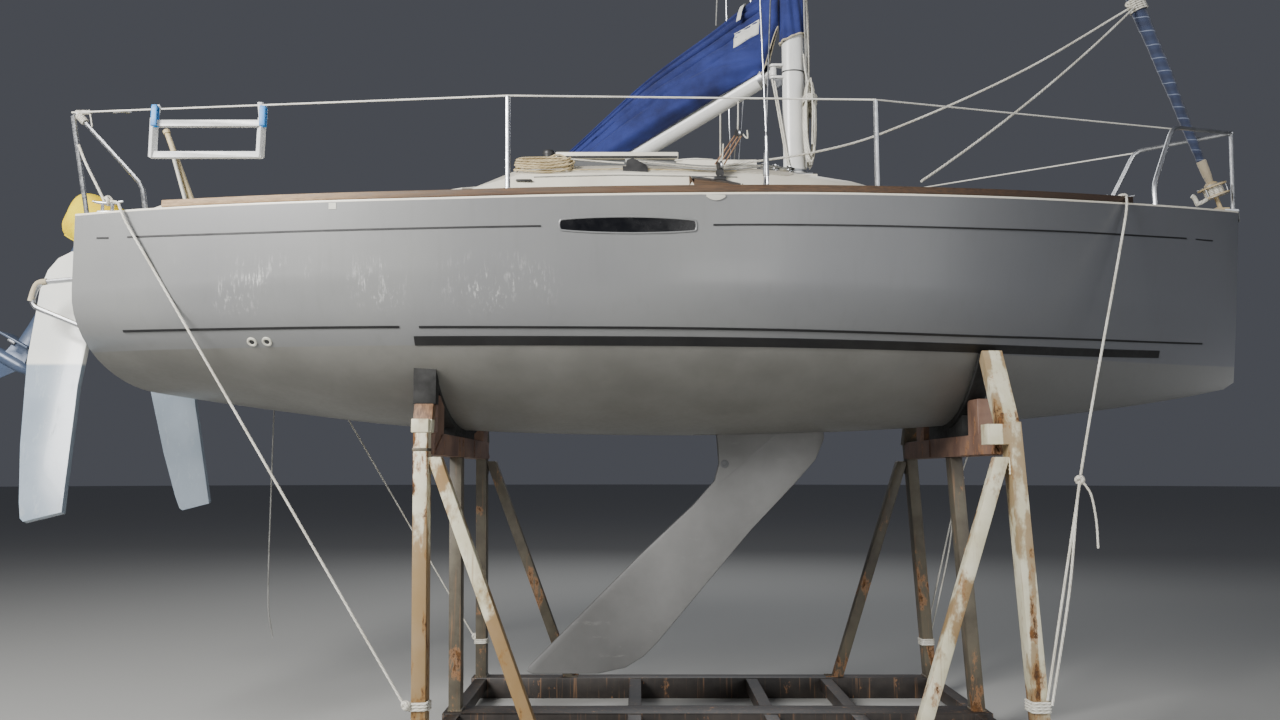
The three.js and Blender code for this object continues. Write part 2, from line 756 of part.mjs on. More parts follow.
// Steering: two canted rudders and the tiller, each with an arm ahead of its axis, and a tie bar.
const AXIS_X = -2840;
const RUDDER = { y: 545, z: 2500, cant: 15, half: 19 };
const ARM = { reach: 210, s: 158, eye: 27, hole: 17, thick: 9 };
// x, s round the blade: s runs down the canted axis from the reference point at z 2500
const RUDDER_OUTLINE = [
  [-2858, 118],
  [-2960, 128],
  [-3036, 122],
  [-3100, 82],
  [-3142, 10],
  [-3160, -100],
  [-3145, -500],
  [-3085, -950],
  [-3030, -1240],
  [-3008, -1322],
  [-2990, -1338],
  [-2812, -1292],
  [-2826, -1100],
  [-2850, -760],
  [-2860, -640],
];
const GUDGEON_S = [20, -330];

function buildSteering() {
  for (const [word, side] of SIDES) {
    const frame = new THREE.Group();
    frame.position.set(0, side * RUDDER.y, RUDDER.z);
    frame.rotation.x = side * rad(RUDDER.cant);
    root.add(frame);
    const axis = (s0, s1, radius, sides = 16) =>
      rod(V(AXIS_X, 0, s0), V(AXIS_X, 0, s1), radius, sides);
    let blade = plate(RUDDER_OUTLINE, -RUDDER.half, RUDDER.half);
    const gudgeons = [];
    for (const s of GUDGEON_S) {
      blade = join(
        blade.subtract(block(-2885, -2800, -60, 60, s - 24, s + 20)),
        axis(s - 45, s + 45, 7),
        block(-2875, AXIS_X + 12, -RUDDER.half, RUDDER.half, s + 16, s + 46),
      );
    }
    const armX = AXIS_X + ARM.reach;
    const arm = join(
      block(-2930, armX - ARM.hole - 3, -14, 14, ARM.s - ARM.thick / 2, ARM.s + ARM.thick / 2),
      block(-2930, -2862, -14, 14, 100, ARM.s),
      rod(V(armX, 0, ARM.s - ARM.thick / 2), V(armX, 0, ARM.s + ARM.thick / 2), ARM.eye, 20),
    ).subtract(rod(V(armX, 0, ARM.s - 30), V(armX, 0, ARM.s + 30), ARM.hole, 20));
    add(`rudder_${word}`, blade.add(arm), RUDDER_WHITE, frame);
    // Each rudder's two gudgeons stand on one plate that lies on the transom.
    for (const s of GUDGEON_S)
      gudgeons.push(block(AXIS_X - 13, STERN_X - 3, -13, 13, s - 16, s + 8));
    gudgeons.push(block(STERN_X - 6, STERN_X - GAP, -20, 20, GUDGEON_S[1] - 40, GUDGEON_S[0] + 30));
    let bracket = join(...gudgeons);
    bracket = bracket.subtract(axis(-500, 100, 7.9, 20));
    add(`gudgeon_${word}`, bracket, STAINLESS, frame);
  }
  buildTiller();
}

function buildTiller() {
  const headZ = 2668;
  const post = join(
    block(AXIS_X - 22, STERN_X - GAP, -35, 35, 2545 - 120, 2545),
    rod(V(AXIS_X, 0, 2540), V(AXIS_X, 0, headZ + 22), 11, 16),
  );
  add("tiller_bracket", post, STAINLESS);
  const pinX = AXIS_X + ARM.reach;
  const hinge = V(-2500, 0, headZ + 4);
  const head = join(
    rod(V(AXIS_X, 0, headZ - 18), V(AXIS_X, 0, headZ + 18), 24, 20),
    block(AXIS_X, hinge.x + 26, -21, 21, headZ - 8, headZ + 8),
    ...[-1, 1].map((side) =>
      block(hinge.x - 26, hinge.x + 26, side * 27.5 - 6.5, side * 27.5 + 6.5, headZ - 8, headZ + 34),
    ),
  )
    .subtract(rod(V(AXIS_X, 0, headZ - 40), V(AXIS_X, 0, headZ + 40), 11.9, 20))
    .add(rod(V(pinX, 0, headZ), V(pinX, 0, headZ + 62), 6, 12));
  add("tiller_head", head, STAINLESS);
  const up = V(-0.365, 0, 0.931);
  const stick = rod(
    hinge.clone().addScaledVector(up, 8).add(V(0, 0, 14)),
    hinge.clone().addScaledVector(up, 850),
    20.5,
    10,
    15,
  );
  add("tiller", stick, TEAK);
  const barZ = headZ + 44;
  const endY = RUDDER.y - ARM.s * Math.sin(rad(RUDDER.cant));
  const bar = join(
    rod(V(pinX, -endY - 8, barZ), V(pinX, endY + 8, barZ), 10, 12),
    rod(V(pinX, 0, barZ - 12), V(pinX, 0, barZ + 12), 17, 16),
    ...[-1, 1].map((side) =>
      rod(V(pinX, side * endY, barZ + 4), V(pinX, side * endY, 2606), 5.5, 12),
    ),
  ).subtract(rod(V(pinX, 0, barZ - 30), V(pinX, 0, barZ + 30), 7, 16));
  add("tie_bar", bar, ALLOY);
}

function buildRudderGuards() {
  for (const [word, side] of SIDES) {
    const at = (x, z) => V(x, side * 800, z);
    const face = STERN_X - GAP;
    const tube = pipe([at(face, 2430), at(-3050, 2405), at(-3085, 2290), at(face, 2170)], 13, 45);
    const foot = (z) => rod(at(face, z), at(face - 6, z), 26, 12);
    const guard = join(tube, foot(2430), foot(2170));
    const inside = block(face, face + 60, side * 800 - 60, side * 800 + 60, 2100, 2500);
    add(`rudder_guard_${word}`, guard.subtract(inside), STAINLESS);
  }
}

// A small outboard motor on a bracket, tilted up. It is drawn upright, round its tilt pin.
const MOTOR = { pivot: V(-2995, -300, 2600), tilt: 29 };

function buildMotor() {
  const { x, y, z } = MOTOR.pivot;
  const ears = [-1, 1].map((side) =>
    block(x - 30, -2900, y + side * 56 - 8, y + side * 56 + 8, z - 170, z + 22),
  );
  const bracket = join(
    block(-2940, -2895, y - 95, y + 95, 2330, 2520),
    ...[-1, 1].map((side) =>
      block(-2900, STERN_X - GAP, y + side * 80 - 12, y + side * 80 + 12, 2300, 2440),
    ),
    ...ears,
    rod(V(x, y - 62, z), V(x, y + 62, z), 9, 14),
  );
  add("motor_bracket", bracket, ALLOY);

  const frame = new THREE.Group();
  frame.position.copy(MOTOR.pivot);
  frame.rotation.y = rad(MOTOR.tilt);
  root.add(frame);
  const legX = -105;
  const shaftZ = -700;
  const swivel = block(legX - 10, 18, -38, 38, -30, 30).subtract(
    rod(V(0, -60, 0), V(0, 60, 0), 9.9, 18),
  );
  const legRings = [
    [40, 62, 52],
    [-150, 46, 34],
    [-480, 44, 26],
    [-640, 52, 18],
  ].map(([up, long, wide]) =>
    [...Array(14).keys()].map((k) => {
      const angle = (2 * Math.PI * k) / 14;
      return V(legX - 20 + long * Math.cos(angle), wide * Math.sin(angle), up);
    }),
  );
  const torpedo = new THREE.LatheGeometry(
    [
      [0, -175],
      [30, -168],
      [36, -120],
      [36, 20],
      [24, 80],
      [0, 112],
    ].map(([r, h]) => new THREE.Vector2(r, h)),
    14,
  );
  torpedo.rotateZ(-Math.PI / 2).translate(legX, 0, shaftZ);
  const fin = plate(
    [
      [legX + 40, shaftZ],
      [legX - 60, shaftZ - 130],
      [legX - 105, shaftZ - 130],
      [legX - 95, shaftZ],
    ],
    -6,
    6,
  );
  const splash = block(legX - 150, legX + 30, -62, 62, -590, -580);
  const neck = plate(
    [
      [legX + 30, -620],
      [legX + 45, shaftZ],
      [legX - 95, shaftZ],
      [legX - 80, -620],
    ],
    -16,
    16,
  );
  const leg = join(loft(legRings), swivel, solid(torpedo), fin, splash, neck);
  const shaft = rod(V(legX - 170, 0, shaftZ), V(legX - 250, 0, shaftZ), 9, 14);
  add("outboard_leg", leg.add(shaft), MOTOR_GREY, frame);

  const cowlRings = [
    [40.6, 130, 95],
    [110, 165, 122],
    [230, 170, 128],
    [300, 140, 105],
    [325, 80, 60],
  ].map(([up, long, wide]) =>
    [...Array(16).keys()].map((k) => {
      const angle = (2 * Math.PI * k) / 16;
      return V(legX - 30 + long * Math.cos(angle), wide * Math.sin(angle), up);
    }),
  );
  add("outboard_cowl", loft(cowlRings), COVER_YELLOW, frame);

  const hubX = legX - 212;
  let screw = rod(V(hubX + 30, 0, shaftZ), V(hubX - 32, 0, shaftZ), 27, 16);
  for (let k = 0; k < 3; k++) {
    const bladeG = new THREE.BoxGeometry(9, 78, 96);
    bladeG.rotateZ(rad(32)).translate(0, 0, 66).rotateX((2 * Math.PI * k) / 3);
    screw = screw.add(solid(bladeG.translate(hubX, 0, shaftZ)));
  }
  screw = screw.subtract(
    rod(V(hubX + 60, 0, shaftZ), V(hubX - 60, 0, shaftZ), 9.9, 18),
  );
  add("propeller", screw, MOTOR_GREY, frame);
}

// A light folding frame that hangs by two hooks from the starboard lifeline.
function buildHungFrame() {
  const [aft, fore, half] = [-2410, -1875, 15];
  const middle = lifelineAt(STARBOARD, (aft + fore) / 2);
  const y = middle.y;
  const lean = 30;
  const top = middle.z - 85;
  const low = top - 150;
  const bar = (a, b) => beam(a, b, 2 * half, 2 * half);
  const frame = join(
    bar(V(aft - 10, y, top), V(fore + 10, y, top)),
    bar(V(aft - 25, y + lean, low), V(fore - 5, y + lean, low)),
    bar(V(aft, y, top + 30), V(aft - 15, y + lean, low - 10)),
    bar(V(fore, y, top + 30), V(fore - 15, y + lean, low - 10)),
  );
  const hooks = [aft, fore].map((x) => {
    const wire = lifelineAt(STARBOARD, x);
    const [before, after] = [lifelineAt(STARBOARD, x - 80), lifelineAt(STARBOARD, x + 80)];
    const hook = beam(V(x, y, top + 10), wire.clone().add(V(0, 0, 16)), 22, 22);
    return hook.subtract(rod(before, after, WIRE + 0.5, 12));
  });
  add("hung_frame", join(frame, ...hooks), ALLOY);
}

// The cradle: a base of rails, and under each end of the boat posts with a beam, two arms and a pad.
const RAIL_Y = 970;
const BASE_HIGH = 130;
const CROSSBARS = [-1030, -30, 720, 1200, 1885];
const POST = { alongX: 68, alongY: 100 };
const BEAM = { low: 1535, high: 1645, wide: 100 };
const PAD = { clear: 0.6, thick: 28, wide: 104 };
// Where each frame's posts, struts and arms stand, half of the arms' width, and how far out the pad goes:
// word, footX, topX, strutX, headZ, armY, armZ, armHalf, padEnd
const FRAMES = [
  ["aft", -1030, -1050, -430, 1700, 905, 1782, 46, 935],
  ["fore", 1885, 1800, 1255, 1690, 705, 2065, 50, 690],
].map(([word, footX, topX, strutX, headZ, armY, armZ, armHalf, padEnd]) => ({
  word,
  footX,
  topX,
  strutX,
  headZ,
  armY,
  armZ,
  armHalf,
  padEnd,
}));

// The post's middle at a height, along X.
const postX = ({ footX, topX }, z) =>
  footX + ((topX - footX) * (z - BASE_HIGH)) / (BEAM.low - BASE_HIGH);

// Cuts a piece of the cradle level at its foot and its head.
function trimmed(shape, low, high) {
  const { min, max } = shape.boundingBox();
  return shape.intersect(block(min[0] - 1, max[0] + 1, min[1] - 1, max[1] + 1, low, high));
}

// The line of a post, with the room to spare that a neighbour leaves it.
function postLine(frame, y, z, spare = 0) {
  const reach = z + 60;
  return beam(
    V(postX(frame, 60), y, 60),
    V(postX(frame, reach), y, reach),
    POST.alongX + 2 * spare,
    POST.alongY + 2 * spare,
  );
}

function armLine(frame, side, spare = 0) {
  const x = postX(frame, frame.headZ);
  const from = V(x, side * (RAIL_Y - 6), frame.headZ - 90);
  const up = V(x, side * frame.armY, frame.armZ).sub(from).normalize();
  const to = V(x, side * frame.armY, frame.armZ).addScaledVector(up, 60);
  const arm = beam(from, to, 2 * (frame.armHalf + spare), 72 + 2 * spare);
  return trimmed(arm, frame.headZ - 60 - spare, frame.armZ + spare);
}

function buildCradle() {
  const aftX = FRAMES[0].footX - 60;
  const foreX = FRAMES[1].footX + 60;
  for (const [word, side] of SIDES)
    add(
      `cradle_rail_${word}`,
      block(aftX, foreX, side * RAIL_Y - 60, side * RAIL_Y + 60, 0, BASE_HIGH),
      CRADLE_DARK,
    );
  const inner = RAIL_Y - 60 - GAP;
  const bars = CROSSBARS.map((x) => block(x - 38, x + 38, -inner, inner, 50, BASE_HIGH - 5));
  add("cradle_rail_middle", join(block(aftX, foreX, -100, 100, 0, BASE_HIGH), ...bars), CRADLE_DARK);

  const padSpace = hullShape(PAD.clear + PAD.thick + GAP);
  for (const frame of FRAMES) {
    const { word, topX, strutX, headZ } = frame;
    const floor = BASE_HIGH + GAP;
    add(
      `cradle_post_${word}_centre`,
      trimmed(postLine(frame, 0, BEAM.low), floor, BEAM.low - GAP),
      CRADLE_STEEL,
    );
    for (const [place, side] of SIDES) {
      const y = side * RAIL_Y;
      const post = trimmed(postLine(frame, y, headZ), floor, headZ);
      let tall = join(post, armLine(frame, side).subtract(padSpace));
      if (word === "fore" && side === STARBOARD)
        tall = tall.add(
          block(topX - 137, topX - 20, y - POST.alongY / 2, y + POST.alongY / 2 - GAP, 1583, 1680),
        );
      add(`cradle_post_${word}_${place}`, tall, CRADLE_STEEL);
      const towards = Math.sign(strutX - frame.footX);
      const head = V(topX + towards * (POST.alongX / 2 + 24), y, BEAM.low);
      const line = beam(V(strutX, y, 40), head, 62, 70);
      const strut = trimmed(line, floor, BEAM.low - 12).subtract(postLine(frame, y, headZ, GAP));
      add(`cradle_strut_${word}_${place}`, strut, CRADLE_STEEL);
    }
    // packing blocks stand on the beam's ends, under the pad
    const end = RAIL_Y - POST.alongY / 2 - GAP;
    const packs = SIDES.map(([, side]) => {
      const ys = [side * (frame.padEnd - 250), side * (frame.padEnd - 80)].sort((a, b) => a - b);
      return block(topX - 50, topX + 50, ...ys, BEAM.high - 5, 1830).subtract(padSpace);
    });
    let span = block(topX - BEAM.wide / 2, topX + BEAM.wide / 2, -end, end, BEAM.low, BEAM.high);
    span = join(span, ...packs);
    for (const [, side] of SIDES) span = span.subtract(armLine(frame, side, GAP));
    add(`cradle_beam_${word}`, span, CRADLE_RUST);
  }
}

// A pad lies along the hull's skin, on a block in the beam's middle and on the two arms.
function buildSaddles() {
  const inner = hullShape(PAD.clear);
  const outer = hullShape(PAD.clear + PAD.thick);
  for (const frame of FRAMES) {
    const { word, topX, padEnd, armZ } = frame;
    const x = postX(frame, frame.headZ);
    const room = block(x - PAD.wide / 2, x + PAD.wide / 2, -padEnd, padEnd, 1500, 2300);
    const strip = outer.intersect(room).subtract(inner);
    const middle = block(topX - 45, topX + 45, -330, 330, BEAM.high + GAP, 1760).subtract(inner);
    let pad = join(strip, middle);
    if (word === "aft")
      for (const [, side] of SIDES) {
        const ys = [side * (padEnd - 75), side * padEnd].sort((a, b) => a - b);
        pad = pad.add(block(x - 55, x + 55, ...ys, armZ + GAP, 2200).subtract(inner));
      }
    const lid = word === "aft" ? 1990 : 2075;
    add(`cradle_saddle_${word}`, trimmed(pad, 1500, lid), CRADLE_DARK);
  }
}

buildHull();
buildDeck();
buildWinches();
buildToeRails();
buildCompanionway();
buildMast();
buildBoom();
buildHeadsail();
buildShrouds();
buildRails();
buildKeel();
buildSteering();
buildRudderGuards();
buildMotor();
buildHungFrame();
buildCradle();
buildSaddles();

export default root;
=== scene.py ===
# %% [markdown]
# A small sailing yacht stands ashore on its steel cradle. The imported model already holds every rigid
# solid at its place, in metres: +X to the bow, +Y to port, +Z up, with the floor at zero. This script
# loads that frame, gives each solid a worked-out finish, and adds what is too fine or too soft for it.

import bpy
import numpy as np
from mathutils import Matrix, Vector


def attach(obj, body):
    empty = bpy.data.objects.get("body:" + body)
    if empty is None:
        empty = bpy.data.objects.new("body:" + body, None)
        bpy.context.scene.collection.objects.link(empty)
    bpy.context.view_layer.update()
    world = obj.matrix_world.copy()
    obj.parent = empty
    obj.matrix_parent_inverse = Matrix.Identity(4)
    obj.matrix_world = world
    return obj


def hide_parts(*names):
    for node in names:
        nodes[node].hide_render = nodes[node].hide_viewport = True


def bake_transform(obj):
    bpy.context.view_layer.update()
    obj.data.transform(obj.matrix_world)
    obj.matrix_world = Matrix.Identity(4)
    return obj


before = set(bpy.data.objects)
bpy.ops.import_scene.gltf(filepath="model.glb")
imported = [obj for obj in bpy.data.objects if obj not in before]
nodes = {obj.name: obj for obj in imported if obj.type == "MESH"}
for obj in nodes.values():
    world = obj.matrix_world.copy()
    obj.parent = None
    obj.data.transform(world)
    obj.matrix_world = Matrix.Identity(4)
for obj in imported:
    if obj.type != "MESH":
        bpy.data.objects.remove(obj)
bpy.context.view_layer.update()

# %% [markdown]
# The camera comes first, because everything is judged through it. The photograph was taken from the
# starboard side at chest height, six metres off, tilted up a little. The angle of view follows from the
# posts of the cradle, which stand at known places in the picture. The floor is a plain pale disc, and the
# light comes from a strong soft panel off the stern, as in the photograph, with weaker ones round it.

# %% The camera
CAMERA = {"place": (0, -6.05, 1.45), "tilt": 96.1, "focal_px": 1050, "width_px": 1280}

lens = bpy.data.cameras.new("view")
lens.sensor_width = 36
lens.lens = 36 * CAMERA["focal_px"] / CAMERA["width_px"]
camera = bpy.data.objects.new("view", lens)
camera.location = CAMERA["place"]
camera.rotation_euler = (np.radians(CAMERA["tilt"]), 0, 0)
bpy.context.scene.collection.objects.link(camera)
bpy.context.scene.camera = camera
print("lens", round(lens.lens, 2), "mm")

# %% The light
# what the lamps look at, then name, place, size, power and colour of each
AIM = Vector((0, 0, 2.4))
LAMPS = [
    ("key", (-5.4, -6.6, 5.6), 3.2, 1450, (1.0, 0.985, 0.96)),
    ("fill", (7.5, -10.0, 4.0), 8.0, 330, (0.95, 0.97, 1.0)),
    ("low", (3.4, -10.5, 0.6), 3.0, 170, (1.0, 0.99, 0.96)),
    ("back", (1.0, 9.0, 8.0), 6.0, 300, (0.96, 0.98, 1.0)),
]


def lamp(name, place, size, power, colour):
    """A square panel that looks at the boat's middle."""
    panel = bpy.data.lights.new(name, "AREA")
    panel.size = size
    panel.energy = power
    panel.color = colour
    made = bpy.data.objects.new(name, panel)
    made.location = place
    made.rotation_euler = (AIM - made.location).to_track_quat("-Z", "Y").to_euler()
    bpy.context.scene.collection.objects.link(made)


for row in LAMPS:
    lamp(*row)

sky = bpy.data.worlds.new("sky")
bpy.context.scene.world = sky
sky.use_nodes = True
background = sky.node_tree.nodes["Background"].inputs
background["Color"].default_value = (0.72, 0.76, 0.90, 1)
background["Strength"].default_value = 0.10
print(len(LAMPS), "lamps")

# %% [markdown]
# A finish is a graph of nodes. Written out link by link, such a graph hides what it means, so one small
# class, Field, wraps a socket and lets ordinary arithmetic add the nodes. Another, Finish, holds a
# material and has one method for every other kind of node. Patterns read the object's own coordinates,
# which are the model's metres, or the UV map of a piece where the pattern follows its surface.

# %% Arithmetic on sockets
class Field:
    """A value that varies over the surface."""

    def __init__(self, finish, socket):
        self.finish = finish
        self.socket = socket

    def _sum(self, operation, first, second=None):
        values = {0: first, 1: second}
        sockets = {slot: value for slot, value in values.items() if value is not None}
        return self.finish.node("Math", {"operation": operation}, sockets)

    def __add__(self, other):
        return self._sum("ADD", self, other)

    def __sub__(self, other):
        return self._sum("SUBTRACT", self, other)

    def __rsub__(self, other):
        return self._sum("SUBTRACT", other, self)

    def __mul__(self, other):
        return self._sum("MULTIPLY", self, other)

    def __gt__(self, other):
        return self._sum("GREATER_THAN", self, other)

    __radd__ = __add__
    __rmul__ = __mul__

    def sine(self):
        return self._sum("SINE", self)

    def size(self):
        return self._sum("ABSOLUTE", self)

    def least(self, other):
        return self._sum("MINIMUM", self, other)

    def ramp(self, low, high, start=0.0, end=1.0):
        """Smoothly from start at low to end at high."""
        sockets = {"Value": self, 1: low, 2: high, 3: start, 4: end}
        return self.finish.node("MapRange", {"interpolation_type": "SMOOTHSTEP"}, sockets)

    def between(self, low, high, soft):
        """One from low to high, and zero outside, with soft edges."""
        return self.ramp(low - soft, low + soft) * self.ramp(high - soft, high + soft, 1.0, 0.0)


class Finish:
    """A material that is being made."""

    def __init__(self, name, colour, roughness=0.5, metallic=0.0, **fixed):
        self.material = bpy.data.materials.new(name)
        self.material.use_nodes = True
        self.tree = self.material.node_tree
        self.shader = self.tree.nodes["Principled BSDF"]
        self.set("Base Color", colour)
        self.set("Roughness", roughness)
        self.set("Metallic", metallic)
        for name_of_socket, value in fixed.items():
            self.set(name_of_socket.replace("_", " "), value)

    def put(self, socket, value):
        if isinstance(value, Field):
            self.tree.links.new(value.socket, socket)
        elif socket.type == "RGBA":
            socket.default_value = (*value[:3], 1)
        else:
            socket.default_value = value

    def set(self, name_of_socket, value):
        self.put(self.shader.inputs[name_of_socket], value)

    def node(self, kind, settings=None, sockets=None, out=0):
        """Adds one node: its settings first, then the values or links of its sockets."""
        made = self.tree.nodes.new("ShaderNode" + kind)
        for key, value in (settings or {}).items():
            setattr(made, key, value)
        for key, value in (sockets or {}).items():
            self.put(made.inputs[key], value)
        return Field(self, made.outputs[out])

    def place(self):
        """The three object coordinates, in metres."""
        whole = self.node("TexCoord", out=3)
        return [self.node("SeparateXYZ", {}, {0: whole}, out) for out in range(3)]

    def along(self):
        """The two coordinates of the piece's own UV map."""
        whole = self.node("TexCoord", out=2)
        return [self.node("SeparateXYZ", {}, {0: whole}, out) for out in range(2)]

    def noise(self, scale, detail=3.0, rough=0.5, stretch=(1, 1, 1), shift=(0, 0, 0)):
        """Cloudy noise from 0 to 1, scale lumps to the metre."""
        whole = self.node("TexCoord", out=3)
        spread = self.node("Mapping", {}, {0: whole, 1: shift, 3: stretch})
        sockets = {"Vector": spread, "Scale": scale, "Detail": detail, "Roughness": rough}
        return self.node("TexNoise", {}, sockets)

    def mix(self, share, low, high):
        """From one colour to the other as share goes from 0 to 1."""
        return self.node("Mix", {"data_type": "RGBA"}, {0: share, 6: low, 7: high}, 2)

    def dents(self, height, distance, strength=1.0):
        """Feeds a height from 0 to 1, that many metres high, to the normal."""
        sockets = {"Height": height, "Distance": distance, "Strength": strength}
        self.set("Normal", self.node("Bump", {}, sockets))


def tone(red, green, blue):
    """A colour as the screen shows it, from 0 to 255, turned into light."""
    share = np.array([red, green, blue]) / 255
    light = np.where(share <= 0.04045, share / 12.92, ((share + 0.055) / 1.055) ** 2.4)
    return tuple(float(value) for value in light)


print("grey 150 is", round(tone(150, 150, 150)[0], 3), "of white")

# %% [markdown]
# New pieces are surfaces on a grid. A row of sections is worked out as one array of points, and one
# function turns the array into faces. Every bar, rope and tube is such a grid carried along a path,
# every turned fitting is a profile carried round an axis, and a box with soft edges is a ball whose
# eight corners are pushed apart.

# %% Surfaces on a grid
def surface(points, finish, around=False, caps=False, turns=False):
    """Faces over a grid of rows and columns of points. The UV map holds the distances along both, in
    metres, or, with turns, the share of the way round for the columns."""
    rows, columns, _ = points.shape
    last = columns if around else columns - 1
    loop = np.concatenate([points, points[:, :1]], axis=1) if around else points
    down = np.linalg.norm(np.diff(points, axis=0), axis=2).mean(axis=1)
    across = np.linalg.norm(np.diff(loop, axis=1), axis=2).mean(axis=0)
    u = np.concatenate([[0], np.cumsum(down)])
    v = np.concatenate([[0], np.cumsum(across)])
    if turns:
        v = v / v[-1]
    i, k = np.meshgrid(np.arange(rows - 1), np.arange(last), indexing="ij")
    after = (k + 1) % columns
    first, second = i * columns, (i + 1) * columns
    quads = np.stack([first + k, second + k, second + after, first + after], axis=-1).reshape(-1, 4)
    chart = np.stack([u[i], v[k], u[i + 1], v[k], u[i + 1], v[k + 1], u[i], v[k + 1]], axis=-1)
    corners = [quads.ravel()]
    counts = [np.full(len(quads), 4)]
    charts = [chart.reshape(-1, 2)]
    if caps:
        ring = np.arange(columns)
        corners += [ring, ring[::-1] + (rows - 1) * columns]
        counts += [[columns], [columns]]
        charts += [np.column_stack([np.full(columns, u[0]), v[:columns]])]
        charts += [np.column_stack([np.full(columns, u[-1]), v[:columns]])[::-1]]
    return {
        "points": points.reshape(-1, 3),
        "corners": np.concatenate(corners),
        "counts": np.concatenate(counts),
        "chart": np.concatenate(charts),
        "finish": finish,
    }


def unit(vectors):
    """The same directions, one long."""
    return vectors / np.maximum(np.linalg.norm(vectors, axis=-1, keepdims=True), 1e-12)


def fair(table, x):
    """A fair line through the rows of a table, by its first column: a cubic between two rows, with the
    slopes that the rows on either side give."""
    table = np.asarray(table, float)
    x = np.atleast_1d(np.asarray(x, float))
    last = len(table) - 2
    i = np.clip(np.searchsorted(table[:, 0], x) - 1, 0, last)
    low, high = table[i], table[i + 1]
    before, after = table[np.maximum(i - 1, 0)], table[np.minimum(i + 2, last + 1)]
    span = high[:, :1] - low[:, :1]
    t = (x[:, None] - low[:, :1]) / span
    leave = (high - before) / (high[:, :1] - before[:, :1]) * span
    arrive = (after - low) / (after[:, :1] - low[:, :1]) * span
    rise = high - low
    return low + t * leave + t * t * (3 * rise - 2 * leave - arrive + t * (leave + arrive - 2 * rise))


def curve(points, count):
    """A fair line through the points, cut at equal distances."""
    points = np.asarray(points, float)
    run = np.concatenate([[0], np.cumsum(np.linalg.norm(np.diff(points, axis=0), axis=1))])
    return fair(np.column_stack([run, points]), np.linspace(0, run[-1], count))[:, 1:]


def straight(a, b, count=2):
    """Points from a to b."""
    share = np.linspace(0, 1, count)[:, None]
    return np.asarray(a, float) * (1 - share) + np.asarray(b, float) * share


def length_of(path):
    """How long a line of points is."""
    return float(np.linalg.norm(np.diff(path, axis=0), axis=1).sum())


def tube(path, radius, finish, sides=10):
    """A round bar along a path. Each section stands square to the path, and its first axis is square to
    the direction that the path as a whole runs along least."""
    path = np.asarray(path, float)
    run = unit(np.gradient(path, axis=0))
    least = np.linalg.svd(run)[2][-1]
    first = unit(np.cross(run, least))
    second = np.cross(run, first)
    turn = np.linspace(0, 2 * np.pi, sides, endpoint=False)
    ring = first[:, None] * np.cos(turn)[:, None] + second[:, None] * np.sin(turn)[:, None]
    size = np.broadcast_to(radius, len(path))[:, None, None]
    return surface(path[:, None] + size * ring, finish, around=True, caps=True, turns=True)


def strap(path, across, width, thick, finish):
    """A flat band along a path: across gives the direction of its width."""
    path = np.asarray(path, float)
    run = unit(np.gradient(path, axis=0))
    side = unit(np.broadcast_to(np.asarray(across, float), path.shape))
    up = unit(np.cross(side, run))
    ends = [(-0.5, -0.5), (0.5, -0.5), (0.5, 0.5), (-0.5, 0.5)]
    ring = [side * width * a + up * thick * b for a, b in ends]
    return surface(path[:, None] + np.stack(ring, axis=1), finish, around=True, caps=True)


def axes_of(direction):
    """Two directions square to the given one, and to each other."""
    direction = unit(np.asarray(direction, float))
    other = np.eye(3)[np.argmin(np.abs(direction))]
    first = unit(np.cross(direction, other))
    return direction, first, np.cross(direction, first)


def turned(profile, base, direction, finish, sides=24):
    """A profile of distances along an axis and radii, carried round the axis."""
    profile = np.asarray(profile, float)
    run, first, second = axes_of(direction)
    turn = np.linspace(0, 2 * np.pi, sides, endpoint=False)
    ring = np.cos(turn)[:, None] * first + np.sin(turn)[:, None] * second
    points = np.asarray(base) + profile[:, :1, None] * run + profile[:, 1:, None] * ring
    return surface(points, finish, around=True, caps=True)


def soft_box(middle, size, edge, finish, toward=(1, 0, 0), up=(0, 0, 1)):
    """A box with round edges: the directions of a ball, pushed apart by the box's half size."""
    polar = (np.arange(10) + 0.5) * np.pi / 10
    turn = (np.arange(20) + 0.5) * np.pi / 10
    ball = np.stack(
        [
            np.sin(polar)[:, None] * np.cos(turn),
            np.sin(polar)[:, None] * np.sin(turn),
            np.broadcast_to(np.cos(polar)[:, None], (10, 20)),
        ],
        axis=-1,
    )
    run = unit(np.asarray(toward, float))
    side = unit(np.cross(np.asarray(up, float), run))
    turned_axes = np.stack([run, side, np.cross(run, side)])
    local = np.sign(ball) * (np.asarray(size) / 2 - edge) + edge * ball
    return surface(np.asarray(middle) + local @ turned_axes, finish, around=True, caps=True)


def slice_of(outline, low, high, finish, axis=1):
    """A flat outline, made thick along one of the three axes. The outline's two numbers are the two
    other coordinates, in their order."""
    outline = np.asarray(outline, float)
    rings = [np.insert(outline, axis, level, axis=1) for level in (low, high)]
    return surface(np.stack(rings), finish, around=True, caps=True)


# %% From surfaces to a piece
import bmesh

triangles = {}


